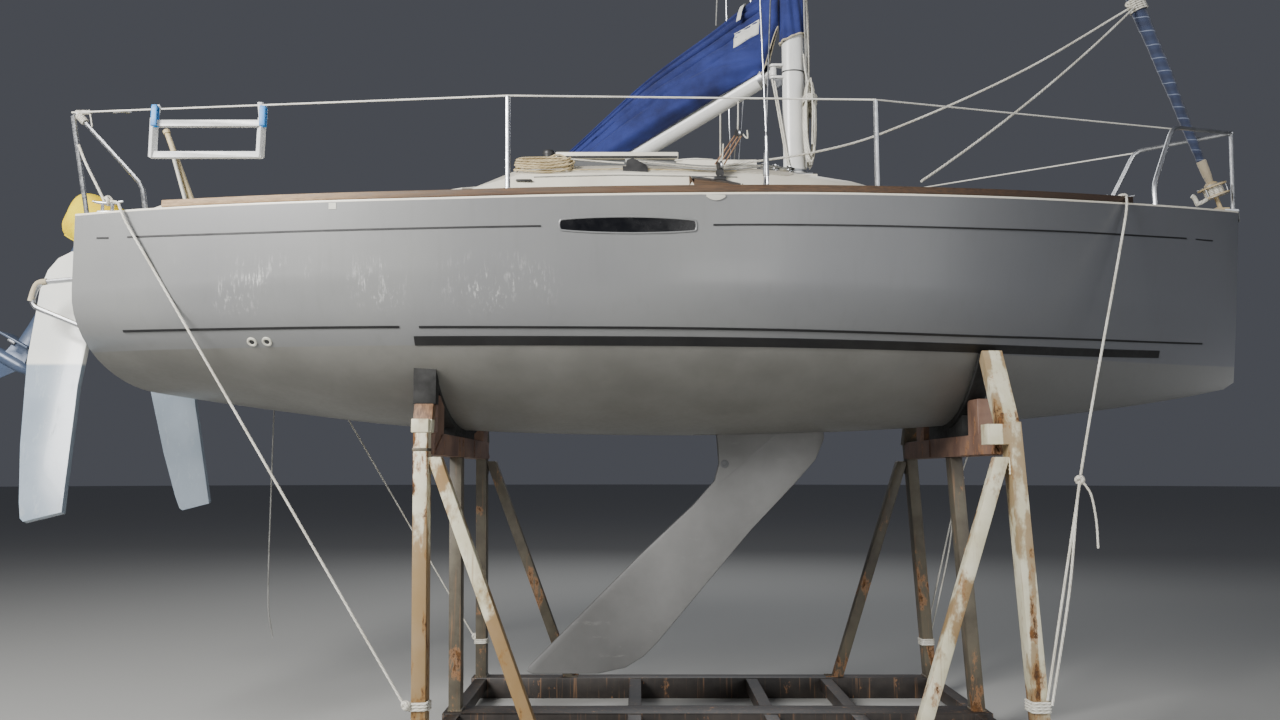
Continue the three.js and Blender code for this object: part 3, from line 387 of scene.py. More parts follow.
def piece(name, shapes, body, replaces=(), sharp=35, outward=True, modifiers=()):
    """One object out of several surfaces, each with its own finish."""
    start = np.cumsum([0] + [len(shape["points"]) for shape in shapes])
    points = np.concatenate([shape["points"] for shape in shapes])
    corners = np.concatenate([shape["corners"] + first for shape, first in zip(shapes, start)])
    counts = np.concatenate([shape["counts"] for shape in shapes])
    chart = np.concatenate([shape["chart"] for shape in shapes])
    finishes = list(dict.fromkeys(shape["finish"] for shape in shapes))
    kinds = [np.full(len(shape["counts"]), finishes.index(shape["finish"])) for shape in shapes]
    mesh = bpy.data.meshes.new(name)
    mesh.vertices.add(len(points))
    mesh.vertices.foreach_set("co", points.ravel())
    mesh.loops.add(len(corners))
    mesh.loops.foreach_set("vertex_index", corners)
    mesh.polygons.add(len(counts))
    mesh.polygons.foreach_set("loop_start", np.cumsum(counts) - counts)
    mesh.polygons.foreach_set("material_index", np.concatenate(kinds))
    mesh.uv_layers.new(name="UVMap").uv.foreach_set("vector", chart.ravel())
    mesh.update(calc_edges=True)
    mesh.validate()
    clean = bmesh.new()
    clean.from_mesh(mesh)
    bmesh.ops.remove_doubles(clean, verts=clean.verts, dist=1e-6)
    if outward:
        bmesh.ops.recalc_face_normals(clean, faces=clean.faces)
    clean.to_mesh(mesh)
    clean.free()
    mesh.polygons.foreach_set("use_smooth", np.ones(len(mesh.polygons), bool))
    mesh.set_sharp_from_angle(angle=np.radians(sharp))
    for finish in finishes:
        mesh.materials.append(finish.material)
    made = bpy.data.objects.new(name, mesh)
    bpy.context.scene.collection.objects.link(made)
    for kind, settings in modifiers:
        added = made.modifiers.new(kind.lower(), kind)
        for key, value in settings.items():
            setattr(added, key, value)
    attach(made, body)
    if replaces:
        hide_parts(*replaces)
    triangles[name] = int(np.sum([len(polygon.vertices) - 2 for polygon in mesh.polygons]))
    print(name, "on", body + ",", triangles[name], "triangles")
    return made


def thick_ring(centre, normal, ring_radius, bar_radius, finish, sides=24):
    """A closed ring of round bar: a circle carried round a circle."""
    run, first, second = axes_of(normal)
    turn = np.linspace(0, 2 * np.pi, sides, endpoint=False)
    out = np.cos(turn)[:, None] * first + np.sin(turn)[:, None] * second
    small = np.linspace(0, 2 * np.pi, 8, endpoint=False)
    bar = bar_radius * (np.cos(small)[:, None] * out[:, None] + np.sin(small)[:, None] * run)
    points = np.asarray(centre) + ring_radius * out[:, None] + bar
    closed = np.concatenate([points, points[:1]])
    return surface(closed, finish, around=True)


SIDES = (-1, 1)  # starboard, port
print("surfaces ready")

# %% [markdown]
# Many small things lie on the hull or on the deck, so the script needs to know where those surfaces
# are. The hull was lofted from a table of stations, and the same table and the same fair curve give the
# half breadth at any height, and the height of the deck at any place.

# %% The hull's own lines
# x, half breadth at the sheer, sheer height, half breadth at the bilge, bilge height, keel height, fullness
STATIONS = [
    [-2.790, 0.970, 2.708, 0.962, 2.340, 1.905, 2.05],
    [-2.450, 1.035, 2.717, 1.022, 2.350, 1.852, 2.10],
    [-2.000, 1.110, 2.721, 1.090, 2.370, 1.790, 2.10],
    [-1.500, 1.175, 2.723, 1.152, 2.395, 1.728, 2.10],
    [-1.000, 1.215, 2.726, 1.188, 2.420, 1.690, 2.10],
    [-0.400, 1.238, 2.736, 1.205, 2.445, 1.668, 2.05],
    [0.200, 1.232, 2.746, 1.192, 2.460, 1.661, 2.00],
    [0.800, 1.175, 2.763, 1.120, 2.462, 1.668, 1.95],
    [1.400, 1.050, 2.787, 0.975, 2.460, 1.694, 1.88],
    [1.900, 0.885, 2.817, 0.790, 2.455, 1.727, 1.78],
    [2.400, 0.655, 2.857, 0.555, 2.445, 1.774, 1.65],
    [2.850, 0.395, 2.902, 0.315, 2.430, 1.832, 1.52],
    [3.200, 0.175, 2.937, 0.130, 2.415, 1.890, 1.42],
    [3.370, 0.062, 2.955, 0.044, 2.400, 1.925, 1.38],
    [3.430, 0.016, 2.962, 0.014, 2.395, 1.965, 1.35],
]
# x, where the coachroof's side starts and ends from the middle, and how far it rises
DECK_ROWS = np.array(
    [
        [-2.790, 0.930, 0.880, 0.000],
        [-2.480, 0.960, 0.910, 0.000],
        [-2.330, 0.965, 0.925, 0.055],
        [-1.130, 1.005, 0.955, 0.058],
        [-0.905, 0.900, 0.830, 0.120],
        [-0.870, 0.800, 0.720, 0.140],
        [-0.640, 0.750, 0.635, 0.228],
        [-0.100, 0.730, 0.600, 0.238],
        [0.450, 0.690, 0.560, 0.228],
        [0.650, 0.665, 0.535, 0.221],
        [0.930, 0.620, 0.475, 0.202],
        [1.180, 0.555, 0.405, 0.178],
        [1.500, 0.450, 0.300, 0.118],
        [2.050, 0.300, 0.180, 0.014],
        [2.400, 0.220, 0.120, 0.000],
        [2.850, 0.150, 0.080, 0.000],
        [3.200, 0.075, 0.040, 0.000],
        [3.370, 0.030, 0.015, 0.000],
        [3.430, 0.008, 0.004, 0.000],
    ]
)
DECK_EDGE = 0.010
DECK_CAMBER = 0.05
ROOF_CROWN = 0.127


def stations(x):
    """The table's columns at any x."""
    return fair(STATIONS, x).T[1:]


def raked(x, z):
    """The stem leans forward: points near the bow move ahead as they rise."""
    t = np.clip((x - 2.4) / 1.03, 0, 1)
    return x + t * t * (3 - 2 * t) * 0.085 * np.clip((z - 1.95) / 1.045, 0, 1.1)


def half_breadth(x, z):
    """A power curve below the bilge, a straight line above it."""
    sheer_half, sheer_z, bilge_half, bilge_z, keel_z, power = stations(np.ravel(x))
    z = np.ravel(z)
    share = np.clip((bilge_z - z) / (bilge_z - keel_z), 0, 1)
    low = bilge_half * (1 - share**power) ** (1 / power)
    high = bilge_half + (sheer_half - bilge_half) * (z - bilge_z) / (sheer_z - bilge_z)
    return np.where(z < bilge_z, low, high)


def on_skin(x, z, lift, side):
    """Points on the hull at stations x and heights z, lifted square to the skin."""
    x, z, lift = np.broadcast_arrays(x, z, lift)
    step = 0.004
    flat = half_breadth(x, z).reshape(x.shape)
    slope_x = (half_breadth(x + step, z) - half_breadth(x - step, z)).reshape(x.shape) / (2 * step)
    slope_z = (half_breadth(x, z + step) - half_breadth(x, z - step)).reshape(x.shape) / (2 * step)
    normal = unit(np.stack([-slope_x, np.ones(x.shape), -slope_z], axis=-1))
    points = np.stack([raked(x, z), flat, z], axis=-1) + normal * lift[..., None]
    return points * (1, side, 1)


def deck_z(x, y):
    """The sheer, the camber, the coachroof's side and its crown, one on the other."""
    x, y = np.broadcast_arrays(np.asarray(x, float), np.abs(np.asarray(y, float)))
    shape = x.shape
    x, y = x.ravel(), y.ravel()
    sheer_half, sheer_z = stations(x)[:2]
    foot, shoulder, rise = [np.interp(x, DECK_ROWS[:, 0], DECK_ROWS[:, k]) for k in (1, 2, 3)]
    camber = DECK_CAMBER * sheer_half * (1 - np.minimum(y / sheer_half, 1) ** 2)
    slope = np.clip((foot - y) / (foot - shoulder), 0, 1)
    crown = np.maximum(0, 1 - (y / shoulder) ** 5) * ROOF_CROWN * rise / 0.3
    return (sheer_z + DECK_EDGE + camber + rise * slope + crown).reshape(shape)


def on_deck(x, y, lift=0.0):
    """Points on the deck or the coachroof."""
    x, y, lift = np.broadcast_arrays(np.asarray(x, float), np.asarray(y, float), np.asarray(lift, float))
    return np.stack([x, y, deck_z(x, y) + lift], axis=-1)


print("deck at the mast", float(deck_z(0.912, 0)))

# %% [markdown]
# Gelcoat is a glossy resin skin. On the topsides it is silver-grey, slightly cloudy, with dried salt in
# short vertical strokes. Below the black band the bottom paint is duller and a little warmer. The deck
# is the same resin in cream, and dirt gathers in it in soft patches.

# %% Gelcoat
BAND_LOW = 2.056  # the lower edge of the black band, where the bottom paint starts


def topsides():
    """Silver above the black band, bottom paint below it."""
    made = Finish("silver gelcoat", tone(144, 145, 146), 0.3, Coat_Weight=0.2, Coat_Roughness=0.18)
    x, _, z = made.place()
    clouds = made.noise(0.9, 3, 0.5).ramp(0.3, 0.7)
    upper = made.mix(clouds, tone(130, 131, 130), tone(120, 121, 122))
    # painted shade: the topsides darken towards the bow, away from the light off the stern
    upper = made.mix(x.ramp(-0.6, 3.2), upper, tone(98, 100, 105))
    lower = made.mix(made.noise(2.2, 4, 0.55).ramp(0.3, 0.7), tone(130, 129, 124), tone(116, 115, 110))
    # painted shade: the bottom paint also darkens towards the bow
    lower = made.mix(x.ramp(0.2, 3.0), lower, tone(106, 107, 107))
    above = z.ramp(BAND_LOW - 0.002, BAND_LOW + 0.002)
    colour = made.mix(above, lower, upper)
    # salt: thin strokes that run down, in a few groups
    strokes = made.noise(1.0, 4, 0.7, stretch=(75, 75, 9)).ramp(0.50, 0.64)
    spots = made.noise(14, 3, 0.6).ramp(0.36, 0.56)
    groups = x.between(-2.2, -1.6, 0.18) + x.between(-1.34, -1.15, 0.10) + x.between(-0.85, -0.50, 0.16)
    patchy = made.noise(4, 3, 0.6).ramp(0.44, 0.60)
    salt = strokes * spots * patchy * groups.least(1.0) * z.between(2.26, 2.42, 0.09)
    colour = made.mix(salt * 0.8, colour, tone(216, 216, 213))
    runs = made.noise(1.0, 3, 0.5, stretch=(22, 22, 0.8)).ramp(0.5, 0.8) * 0.10
    made.set("Base Color", made.mix(runs, colour, tone(92, 91, 88)))
    made.set("Roughness", (made.noise(40, 3).ramp(0.3, 0.7) * 0.05 + 0.32) + (1 - above) * 0.12 + salt * 0.2)
    made.dents(made.noise(1.6, 2, 0.4), 0.003, 0.2)
    return made


def deck_resin():
    made = Finish("cream gelcoat", tone(233, 228, 212), 0.35, Coat_Weight=0.15, Coat_Roughness=0.2)
    clouds = made.noise(2.2, 5, 0.6).ramp(0.35, 0.75)
    colour = made.mix(clouds, tone(236, 232, 218), tone(224, 217, 199))
    specks = made.noise(55, 4, 0.7).ramp(0.62, 0.78) * 0.35
    made.set("Base Color", made.mix(specks, colour, tone(176, 168, 150)))
    made.set("Roughness", clouds * 0.15 + 0.3)
    made.dents(made.noise(5, 2, 0.4), 0.002, 0.3)
    return made


def grip_resin():
    """Moulded non-slip: rows of small lozenges."""
    made = Finish("non-slip gelcoat", tone(214, 208, 192), 0.7)
    x, y, _ = made.place()
    pitch = 2 * np.pi / 0.009
    lozenge = ((x + y) * pitch).sine() * ((x - y) * pitch).sine()
    worn = made.noise(3, 5, 0.6).ramp(0.35, 0.7)
    colour = made.mix(worn, tone(212, 207, 193), tone(196, 190, 174))
    hollow = made.mix(worn, tone(186, 180, 166), tone(166, 160, 146))
    made.set("Base Color", made.mix(lozenge.ramp(-0.5, 0.3), hollow, colour))
    made.dents(lozenge.ramp(-0.3, 0.5), 0.0008, 0.8)
    return made


TOPSIDES = topsides()
DECK_RESIN = deck_resin()
GRIP = grip_resin()
print("gelcoats made")

# %% [markdown]
# Teak greys on top and stays brown in the grain. The grain is noise drawn out along the plank. The spars
# are white-painted tube, and the fittings are polished steel, whose reflections wave a little.

# %% Wood and metal
BROWN = {"dark": tone(66, 48, 35), "light": tone(100, 74, 52), "grey": tone(98, 84, 68)}
PALE = {"dark": tone(190, 170, 126), "light": tone(222, 206, 164), "grey": tone(204, 190, 156)}


def teak(name, dark, light, grey, turn=(0, 0, 0), aft=None):
    """Grain along X, or turned. Aft is a pair of paler tones, painted light, for a rail's after part."""
    made = Finish(name, light, 0.6)
    whole = made.node("TexCoord", out=3)
    spun = made.node("Mapping", {}, {0: whole, 2: turn})
    grain_place = made.node("Mapping", {}, {0: spun, 3: (4, 130, 130)})
    sockets = {"Vector": grain_place, "Scale": 1.0, "Detail": 5.0, "Roughness": 0.65}
    grain = made.node("TexNoise", {}, sockets).ramp(0.3, 0.7)
    planks = made.noise(2.5, 3).ramp(0.35, 0.65)
    colour = made.mix(planks * 0.35, made.mix(grain, dark, light), grey)
    if aft:
        x, _, _ = made.place()
        # painted light: paler tones on the rail's after part, nearest the light off the stern
        colour = made.mix(x.ramp(-1.9, -0.9, 0.8, 0.0), colour, made.mix(grain, *aft))
        # painted shade: the rail darkens to a deep brown towards the bow
        colour = made.mix(x.ramp(0.9, 2.3, 0.0, 0.7), colour, tone(44, 35, 30))
    made.set("Base Color", colour)
    made.set("Roughness", grain * 0.2 + 0.5)
    made.dents(grain, 0.0008, 0.7)
    return made


def spar_paint():
    made = Finish("white spar", tone(228, 229, 227), 0.32, 0.0, Coat_Weight=0.2, Coat_Roughness=0.15)
    scuffs = made.noise(1, 4, 0.7, stretch=(30, 30, 5)).ramp(0.58, 0.75) * 0.35
    clouds = made.noise(4, 3).ramp(0.3, 0.7)
    white = made.mix(clouds, tone(230, 230, 227), tone(218, 219, 217))
    made.set("Base Color", made.mix(scuffs, white, tone(176, 176, 172)))
    made.set("Roughness", scuffs * 0.4 + 0.28)
    return made


def metal(name, colour, roughness):
    """Polished metal, a little clouded, whose reflections wave."""
    made = Finish(name, colour, roughness, 1.0)
    clouds = made.noise(18, 4, 0.6).ramp(0.3, 0.7)
    darker = tuple(value * 0.82 for value in colour)
    made.set("Base Color", made.mix(clouds, darker, colour))
    made.set("Roughness", made.noise(90, 3).ramp(0.3, 0.7) * 0.12 + roughness)
    made.dents(made.noise(30, 2), 0.0006, 0.4)
    return made


def plain(name, colour, roughness, metallic=0.0, wear=0.12, grain=120, depth=0.0004, **fixed):
    """A moulded or painted finish: clouded colour, grained surface."""
    made = Finish(name, colour, roughness, metallic, **fixed)
    clouds = made.noise(7, 4, 0.6).ramp(0.3, 0.7)
    other = tuple(value * (1 - 2 * wear) + wear * 0.25 for value in colour)
    made.set("Base Color", made.mix(clouds, colour, other))
    made.set("Roughness", made.noise(25, 3).ramp(0.3, 0.7) * 0.12 + roughness - 0.06)
    made.dents(made.noise(grain, 2), depth, 0.5)
    return made


TEAK = teak("teak", **BROWN, aft=(tone(150, 122, 90), tone(196, 168, 132)))
TILLER_TEAK = teak("tiller wood", **PALE, turn=(0, float(np.radians(-111.4)), 0))
SPAR = spar_paint()
STEEL = metal("polished steel", tone(200, 202, 205), 0.30)
GREY_ALLOY = metal("grey alloy", tone(172, 174, 178), 0.38)
WHITE_FRAME = plain("white frame", tone(226, 228, 228), 0.35)
BLACK = plain("black plastic", tone(30, 30, 32), 0.42)
TAPE = plain("black tape", tone(16, 16, 18), 0.5, wear=0.03)
SMOKED = plain("smoked acrylic", tone(12, 13, 17), 0.22, wear=0.02, depth=0.0001)
WHITE_PLASTIC = plain("white plastic", tone(214, 212, 198), 0.45)
BLUE_PLASTIC = plain("blue plastic", tone(20, 130, 205), 0.4)
LIFELINE = plain("lifeline skin", tone(232, 230, 220), 0.55)
MOTOR = plain("motor paint", tone(66, 80, 104), 0.38, 0.2)
print("wood, metal and plastics made")

# %% [markdown]
# The keel is iron under grey paint, scuffed where it rubs and stained where the iron shows. The rudders
# are white above the water and pale blue-grey below.

# %% Keel and rudders
def keel_paint():
    made = Finish("keel paint", tone(126, 126, 126), 0.5)
    _, _, z = made.place()
    clouds = made.noise(2.4, 5, 0.6).ramp(0.3, 0.72)
    colour = made.mix(clouds, tone(118, 118, 117), tone(104, 104, 103))
    scrapes = made.noise(1, 5, 0.7, stretch=(6, 30, 22)).ramp(0.6, 0.74) * z.ramp(0.2, 1.2, 1.0, 0.25)
    colour = made.mix(scrapes * 0.5, colour, tone(150, 149, 146))
    rust = made.noise(26, 5, 0.7).ramp(0.66, 0.76) * z.ramp(0.3, 0.75, 1.0, 0.25)
    colour = made.mix(rust * 0.8, colour, tone(112, 72, 44))
    made.set("Base Color", colour)
    made.set("Roughness", clouds * 0.15 + 0.4 + rust * 0.2)
    made.dents(made.noise(8, 5, 0.6), 0.003, 0.45)
    return made


def rudder_paint():
    made = Finish("rudder gelcoat", tone(214, 222, 226), 0.32, Coat_Weight=0.1)
    _, _, z = made.place()
    clouds = made.noise(3, 4).ramp(0.3, 0.7)
    upper = made.mix(clouds, tone(228, 228, 220), tone(214, 216, 212))
    lower = made.mix(clouds, tone(150, 162, 174), tone(134, 147, 160))
    colour = made.mix(z.ramp(1.99, 2.01), lower, upper)
    smears = made.noise(1, 4, 0.7, stretch=(26, 26, 3)).ramp(0.56, 0.75) * 0.4
    made.set("Base Color", made.mix(smears, colour, tone(168, 174, 172)))
    made.set("Roughness", smears * 0.5 + 0.26)
    made.dents(made.noise(4, 3), 0.003, 0.3)
    return made


KEEL = keel_paint()
RUDDER = rudder_paint()
print("keel and rudders made")

# %% [markdown]
# The cradle is old steel. The near posts and struts still have cream paint, with rust that breaks
# through in flakes and takes over towards the ground. The far ones and the centre posts are bare
# brown-grey, and the beams are red-brown. Flakes have height, so the same mask that picks the colour
# also feeds the bump.

# %% Rusty steel
def rusty(name, paint, second, spread, foot, seed, stain=0.0, brown_below=-1.0, edges=(), wood_above=None):
    """Paint over rust: spread is how much shows everywhere, foot how much more near the ground.
    Below a height the paint is stained brown. Edges lists the x of square tubes whose corners rust.
    Above a height the tube can be wood."""
    made = Finish(name, paint, 0.55)
    x, _, z = made.place()
    shift = (seed, seed * 0.7, seed * 0.3)
    lumps = made.noise(11, 7, 0.72, stretch=(1, 1, 0.45), shift=shift)
    broad = made.noise(2.1, 3, 0.5, shift=shift) * 0.35
    level = lumps + broad + spread + z.ramp(0.1, 1.15, foot, 0.0)
    by_edge = 0.0
    for middle in edges:
        near = (x - middle).size()
        by_edge = near.ramp(0.018, 0.036) * near.ramp(0.06, 0.07, 0.12, 0.0)
        level = level + by_edge * 0.7
    flaked = level.ramp(0.80, 0.84)
    edge = level.ramp(0.74, 0.80) * (1 - flaked)
    paint_tone = made.mix(made.noise(6, 4, 0.6, shift=shift).ramp(0.3, 0.7), paint, second)
    paint_tone = made.mix(edge * 0.7, paint_tone, tone(168, 122, 82))
    grains = made.noise(34, 5, 0.7, shift=shift).ramp(0.32, 0.68)
    rust_tone = made.mix(grains, tone(66, 44, 26), tone(122, 82, 42))
    runs = made.noise(1, 4, 0.6, stretch=(60, 60, 2.2), shift=shift).ramp(0.56, 0.74) * 0.55
    amber = made.noise(5.5, 5, 0.65, stretch=(1, 1, 0.6), shift=shift) + by_edge
    amber = amber + z.ramp(brown_below - 0.15, brown_below + 0.15, 0.22, 0.0)
    amber = amber.ramp(0.50, 0.62) * stain
    paint_tone = made.mix(amber, paint_tone, tone(126, 88, 26))
    colour = made.mix(flaked, made.mix(runs, paint_tone, tone(150, 112, 78)), rust_tone)
    if wood_above:
        grain = made.noise(1, 4, 0.6, stretch=(90, 90, 5)).ramp(0.3, 0.7)
        colour = made.mix(z > wood_above, colour, made.mix(grain, tone(92, 66, 48), tone(140, 108, 80)))
    made.set("Base Color", colour)
    made.set("Roughness", flaked * 0.35 + 0.5)
    made.dents((1 - flaked) * 0.7 + made.noise(70, 4, 0.7) * 0.3, 0.0022, 0.8)
    return made


CREAM = (tone(220, 216, 192), tone(200, 194, 164))
AFT_STEEL = rusty("cream paint on the aft post", *CREAM, -0.07, 0.12, 3.1, 0.8, 0.98, (-1.05,), 1.705)
CREAM_STEEL = rusty("cream paint on fittings", *CREAM, -0.06, 0.12, 6.2, 0.6)
FORE_STEEL = rusty("cream paint on the fore post", *CREAM, -0.06, 0.12, 4.3, 0.7, 0.3, (1.80,))
AFT_STRUT = rusty("cream paint on the aft strut", *CREAM, -0.06, 0.14, 7.7, 0.85, 0.80)
FORE_STRUT = rusty("cream paint on the fore strut", *CREAM, -0.04, 0.14, 2.6, 0.8, 0.2)
GREY_STEEL = rusty("bare weathered steel", tone(100, 94, 80), tone(76, 70, 60), -0.06, 0.10, 5.2)
BEAM_STEEL = rusty("red-brown beams", tone(132, 104, 88), tone(98, 74, 64), 0.0, 0.0, 9.4)
DARK_STEEL = rusty("dark rails", tone(58, 52, 48), tone(38, 34, 32), -0.10, 0.04, 1.3)
RUBBER = plain("black rubber", tone(18, 18, 17), 0.8, wear=0.08, grain=60, depth=0.001)
print("cradle finishes made")

# %% [markdown]
# Cloth has a weave that shows as fine ribs, soft clouds of a darker tone, and creases in its bump only. Rope
# is three strands laid together: a slanted wave over the tube's own map, that comes round to itself.

# %% Cloth and rope
ROPE_PITCH = 0.03


def cloth(name, light, dark, pitch=0.0022, sheen=0.35):
    made = Finish(name, light, 0.85, Sheen_Weight=sheen, Sheen_Roughness=0.5)
    u, v = made.along()
    weave = (u * (2 * np.pi / pitch)).sine() * (v * (2 * np.pi / pitch)).sine()
    clouds = made.noise(3.5, 5, 0.62).ramp(0.3, 0.72)
    colour = made.mix(clouds, light, dark)
    made.set("Base Color", made.mix(weave.ramp(-1, 1) * 0.3, colour, tuple(value * 0.7 for value in dark)))
    made.set("Roughness", clouds * 0.1 + 0.8)
    creases = made.noise(7, 4, 0.55, stretch=(1, 1, 1.6))
    made.dents(creases * 0.8 + weave * 0.02, 0.012, 0.55)
    return made


def rope(name, light, dark):
    made = Finish(name, light, 0.85)
    u, v = made.along()
    strand = (v * (6 * np.pi) + u * (2 * np.pi / ROPE_PITCH)).sine()
    dirt = made.noise(9, 4, 0.6).ramp(0.35, 0.7)
    colour = made.mix(dirt, light, dark)
    # painted shade in the grooves between the strands
    between = tuple(value * 0.35 for value in dark)
    made.set("Base Color", made.mix(strand.ramp(-1.0, -0.35, 0.55, 0.0), colour, between))
    made.dents(strand.ramp(-1, 0.6), 0.0012, 0.9)
    return made


NAVY = cloth("navy cover cloth", tone(34, 50, 122), tone(18, 27, 76), sheen=0.1)
GOLD_CLOTH = cloth("pale gold cloth", tone(176, 164, 140), tone(150, 138, 114))
YELLOW = cloth("yellow cover", tone(238, 222, 0), tone(212, 172, 0), 0.003, 0.0)
COLLAR = cloth("beige edging", tone(206, 196, 170), tone(176, 164, 138))
WHITE_ROPE = rope("white rope", tone(232, 230, 220), tone(204, 199, 184))
GREY_ROPE = rope("grey rope", tone(170, 170, 166), tone(136, 136, 132))
BEIGE_ROPE = rope("beige rope", tone(206, 190, 152), tone(168, 148, 108))
RED_ROPE = rope("tackle line", tone(198, 158, 124), tone(160, 120, 90))
THIN_WIRE = metal("thin wire", tone(168, 170, 172), 0.3)
GOLD_DRUM = plain("pale gold plastic", tone(190, 170, 130), 0.45)
print("cloth and rope made")

# %% [markdown]
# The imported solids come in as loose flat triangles. Their meshes stay untouched, and two modifiers make
# them read as smooth skins: one joins the triangles, the other splits them again where the angle is
# sharp, so that only real edges stay hard. Where a width is given, the edges also get a small round.

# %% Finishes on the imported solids
ENDS = ("fore", "aft")
# names, finish, width of the round, angle in degrees from which an edge stays hard
DRESSED = [
    (["hull"], TOPSIDES, 0, 28),
    (["deck"], DECK_RESIN, 0.004, 28),
    (["toe_rail_starboard", "toe_rail_port"], TEAK, 0.004, 30),
    (["tiller"], TILLER_TEAK, 0, 40),
    (["washboard"], SMOKED, 0.002, 30),
    (["winch_starboard", "winch_port"], BLACK, 0, 35),
    (["hatch"], DECK_RESIN, 0.006, 40),
    (["mast", "boom"], SPAR, 0, 35),
    (["hung_frame"], WHITE_FRAME, 0.004, 40),
    (["tie_bar", "motor_bracket"], GREY_ALLOY, 0.002, 35),
    (["furler_drum"], GOLD_DRUM, 0, 35),
    (["keel"], KEEL, 0.009, 45),
    (["rudder_starboard", "rudder_port"], RUDDER, 0.006, 45),
    (["outboard_leg", "propeller"], MOTOR, 0.002, 40),
    (["lifeline_starboard", "lifeline_port"], LIFELINE, 0, 60),
    (["cradle_rail_starboard", "cradle_rail_middle", "cradle_rail_port"], DARK_STEEL, 0.005, 30),
    (["cradle_beam_aft", "cradle_beam_fore"], BEAM_STEEL, 0.004, 30),
    (["cradle_saddle_aft", "cradle_saddle_fore"], RUBBER, 0.003, 30),
    (["cradle_post_aft_starboard"], AFT_STEEL, 0.004, 30),
    (["cradle_post_fore_starboard"], FORE_STEEL, 0.004, 30),
    (["cradle_strut_aft_starboard"], AFT_STRUT, 0.004, 30),
    (["cradle_strut_fore_starboard"], FORE_STRUT, 0.004, 30),
    ([f"cradle_{kind}_{end}_port" for kind in ("post", "strut") for end in ENDS], GREY_STEEL, 0.004, 30),
    ([f"cradle_post_{end}_centre" for end in ENDS], GREY_STEEL, 0.004, 30),
]


def dress(names, finish, bevel, sharp):
    for name in names:
        solid = nodes[name]
        solid.data.materials.clear()
        solid.data.materials.append(finish.material)
        solid.data.polygons.foreach_set("use_smooth", np.ones(len(solid.data.polygons), bool))
        weld = solid.modifiers.new("weld", "WELD")
        weld.merge_threshold = 1e-5
        if bevel:
            soften = solid.modifiers.new("bevel", "BEVEL")
            soften.width = bevel
            soften.segments = 2
            soften.limit_method = "ANGLE"
            soften.angle_limit = np.radians(50)
        split = solid.modifiers.new("split", "EDGE_SPLIT")
        split.split_angle = np.radians(sharp)


for row in DRESSED:
    dress(*row)
dressed = {name for row in DRESSED for name in row[0]}
for name in sorted(set(nodes) - dressed):
    dress([name], STEEL, 0, 35)
print(len(dressed), "solids with their own finish,", len(nodes) - len(dressed), "in polished steel")

# %% [markdown]
# The sail stays on the boom under a blue cover, a tent of cloth that hangs from a steep ridge and is
# drawn in at the boom. It could be simulated, but the folds that matter are known: creases that run
# along under the ridge, and soft ones that fan out from the gooseneck. They are written as waves on a
# lofted sheet, so they stay in their places. The cover moves with the boom; the sleeve round the mast
# is a sheet of its own that stays on the boat.

# %% The boom's frame of reference
GOOSENECK = np.array([0.795, 0.0, 3.826])
YAW, DROOP = np.radians(28), np.radians(21.9)
ALONG_BOOM = np.array([-np.cos(YAW) * np.cos(DROOP), np.sin(YAW) * np.cos(DROOP), -np.sin(DROOP)])
ABEAM = np.array([np.sin(YAW), np.cos(YAW), 0.0])
BOOM_TOP = 0.055 / np.cos(DROOP) + 0.002
UP = np.array([0.0, 0.0, 1.0])


def by_boom(along, up, out=0.0):
    """A place by the boom: along it, above its axis and to its port side."""
    along, up, out = np.broadcast_arrays(along, up, out)
    return GOOSENECK + along[..., None] * ALONG_BOOM + up[..., None] * UP + out[..., None] * ABEAM


# distance along the boom, height of the ridge over its axis, half width at the belly
COVER_ROWS = [
    [0.000, 0.550, 0.036],
    [0.160, 0.545, 0.100],
    [0.420, 0.510, 0.140],
    [0.900, 0.462, 0.135],
    [1.500, 0.315, 0.112],
    [2.000, 0.200, 0.085],
    [2.215, 0.135, 0.060],
]
# share of the way from the ridge to the hem, share of the belly, share of the height
COVER_SECTION = [
    [0.00, 0.00, 0.955],
    [0.10, 0.12, 0.935],
    [0.25, 0.30, 0.850],
    [0.50, 0.66, 0.560],
    [0.72, 0.90, 0.300],
    [0.88, 0.97, 0.110],
    [1.00, 0.45, 0.000],
]
# level on the cover, width and depth of a crease
CREASES = [(0.86, 0.026, 0.040), (0.73, 0.022, 0.032), (0.94, 0.016, 0.012), (0.56, 0.022, 0.018)]
CREASES.append((0.36, 0.03, 0.014))
COVER_END, NOSE = 2.235, 0.036


def rises(value, over):
    """From 0 to 1 as a value goes from 0 to a limit."""
    return np.clip(value / over, 0, 1)


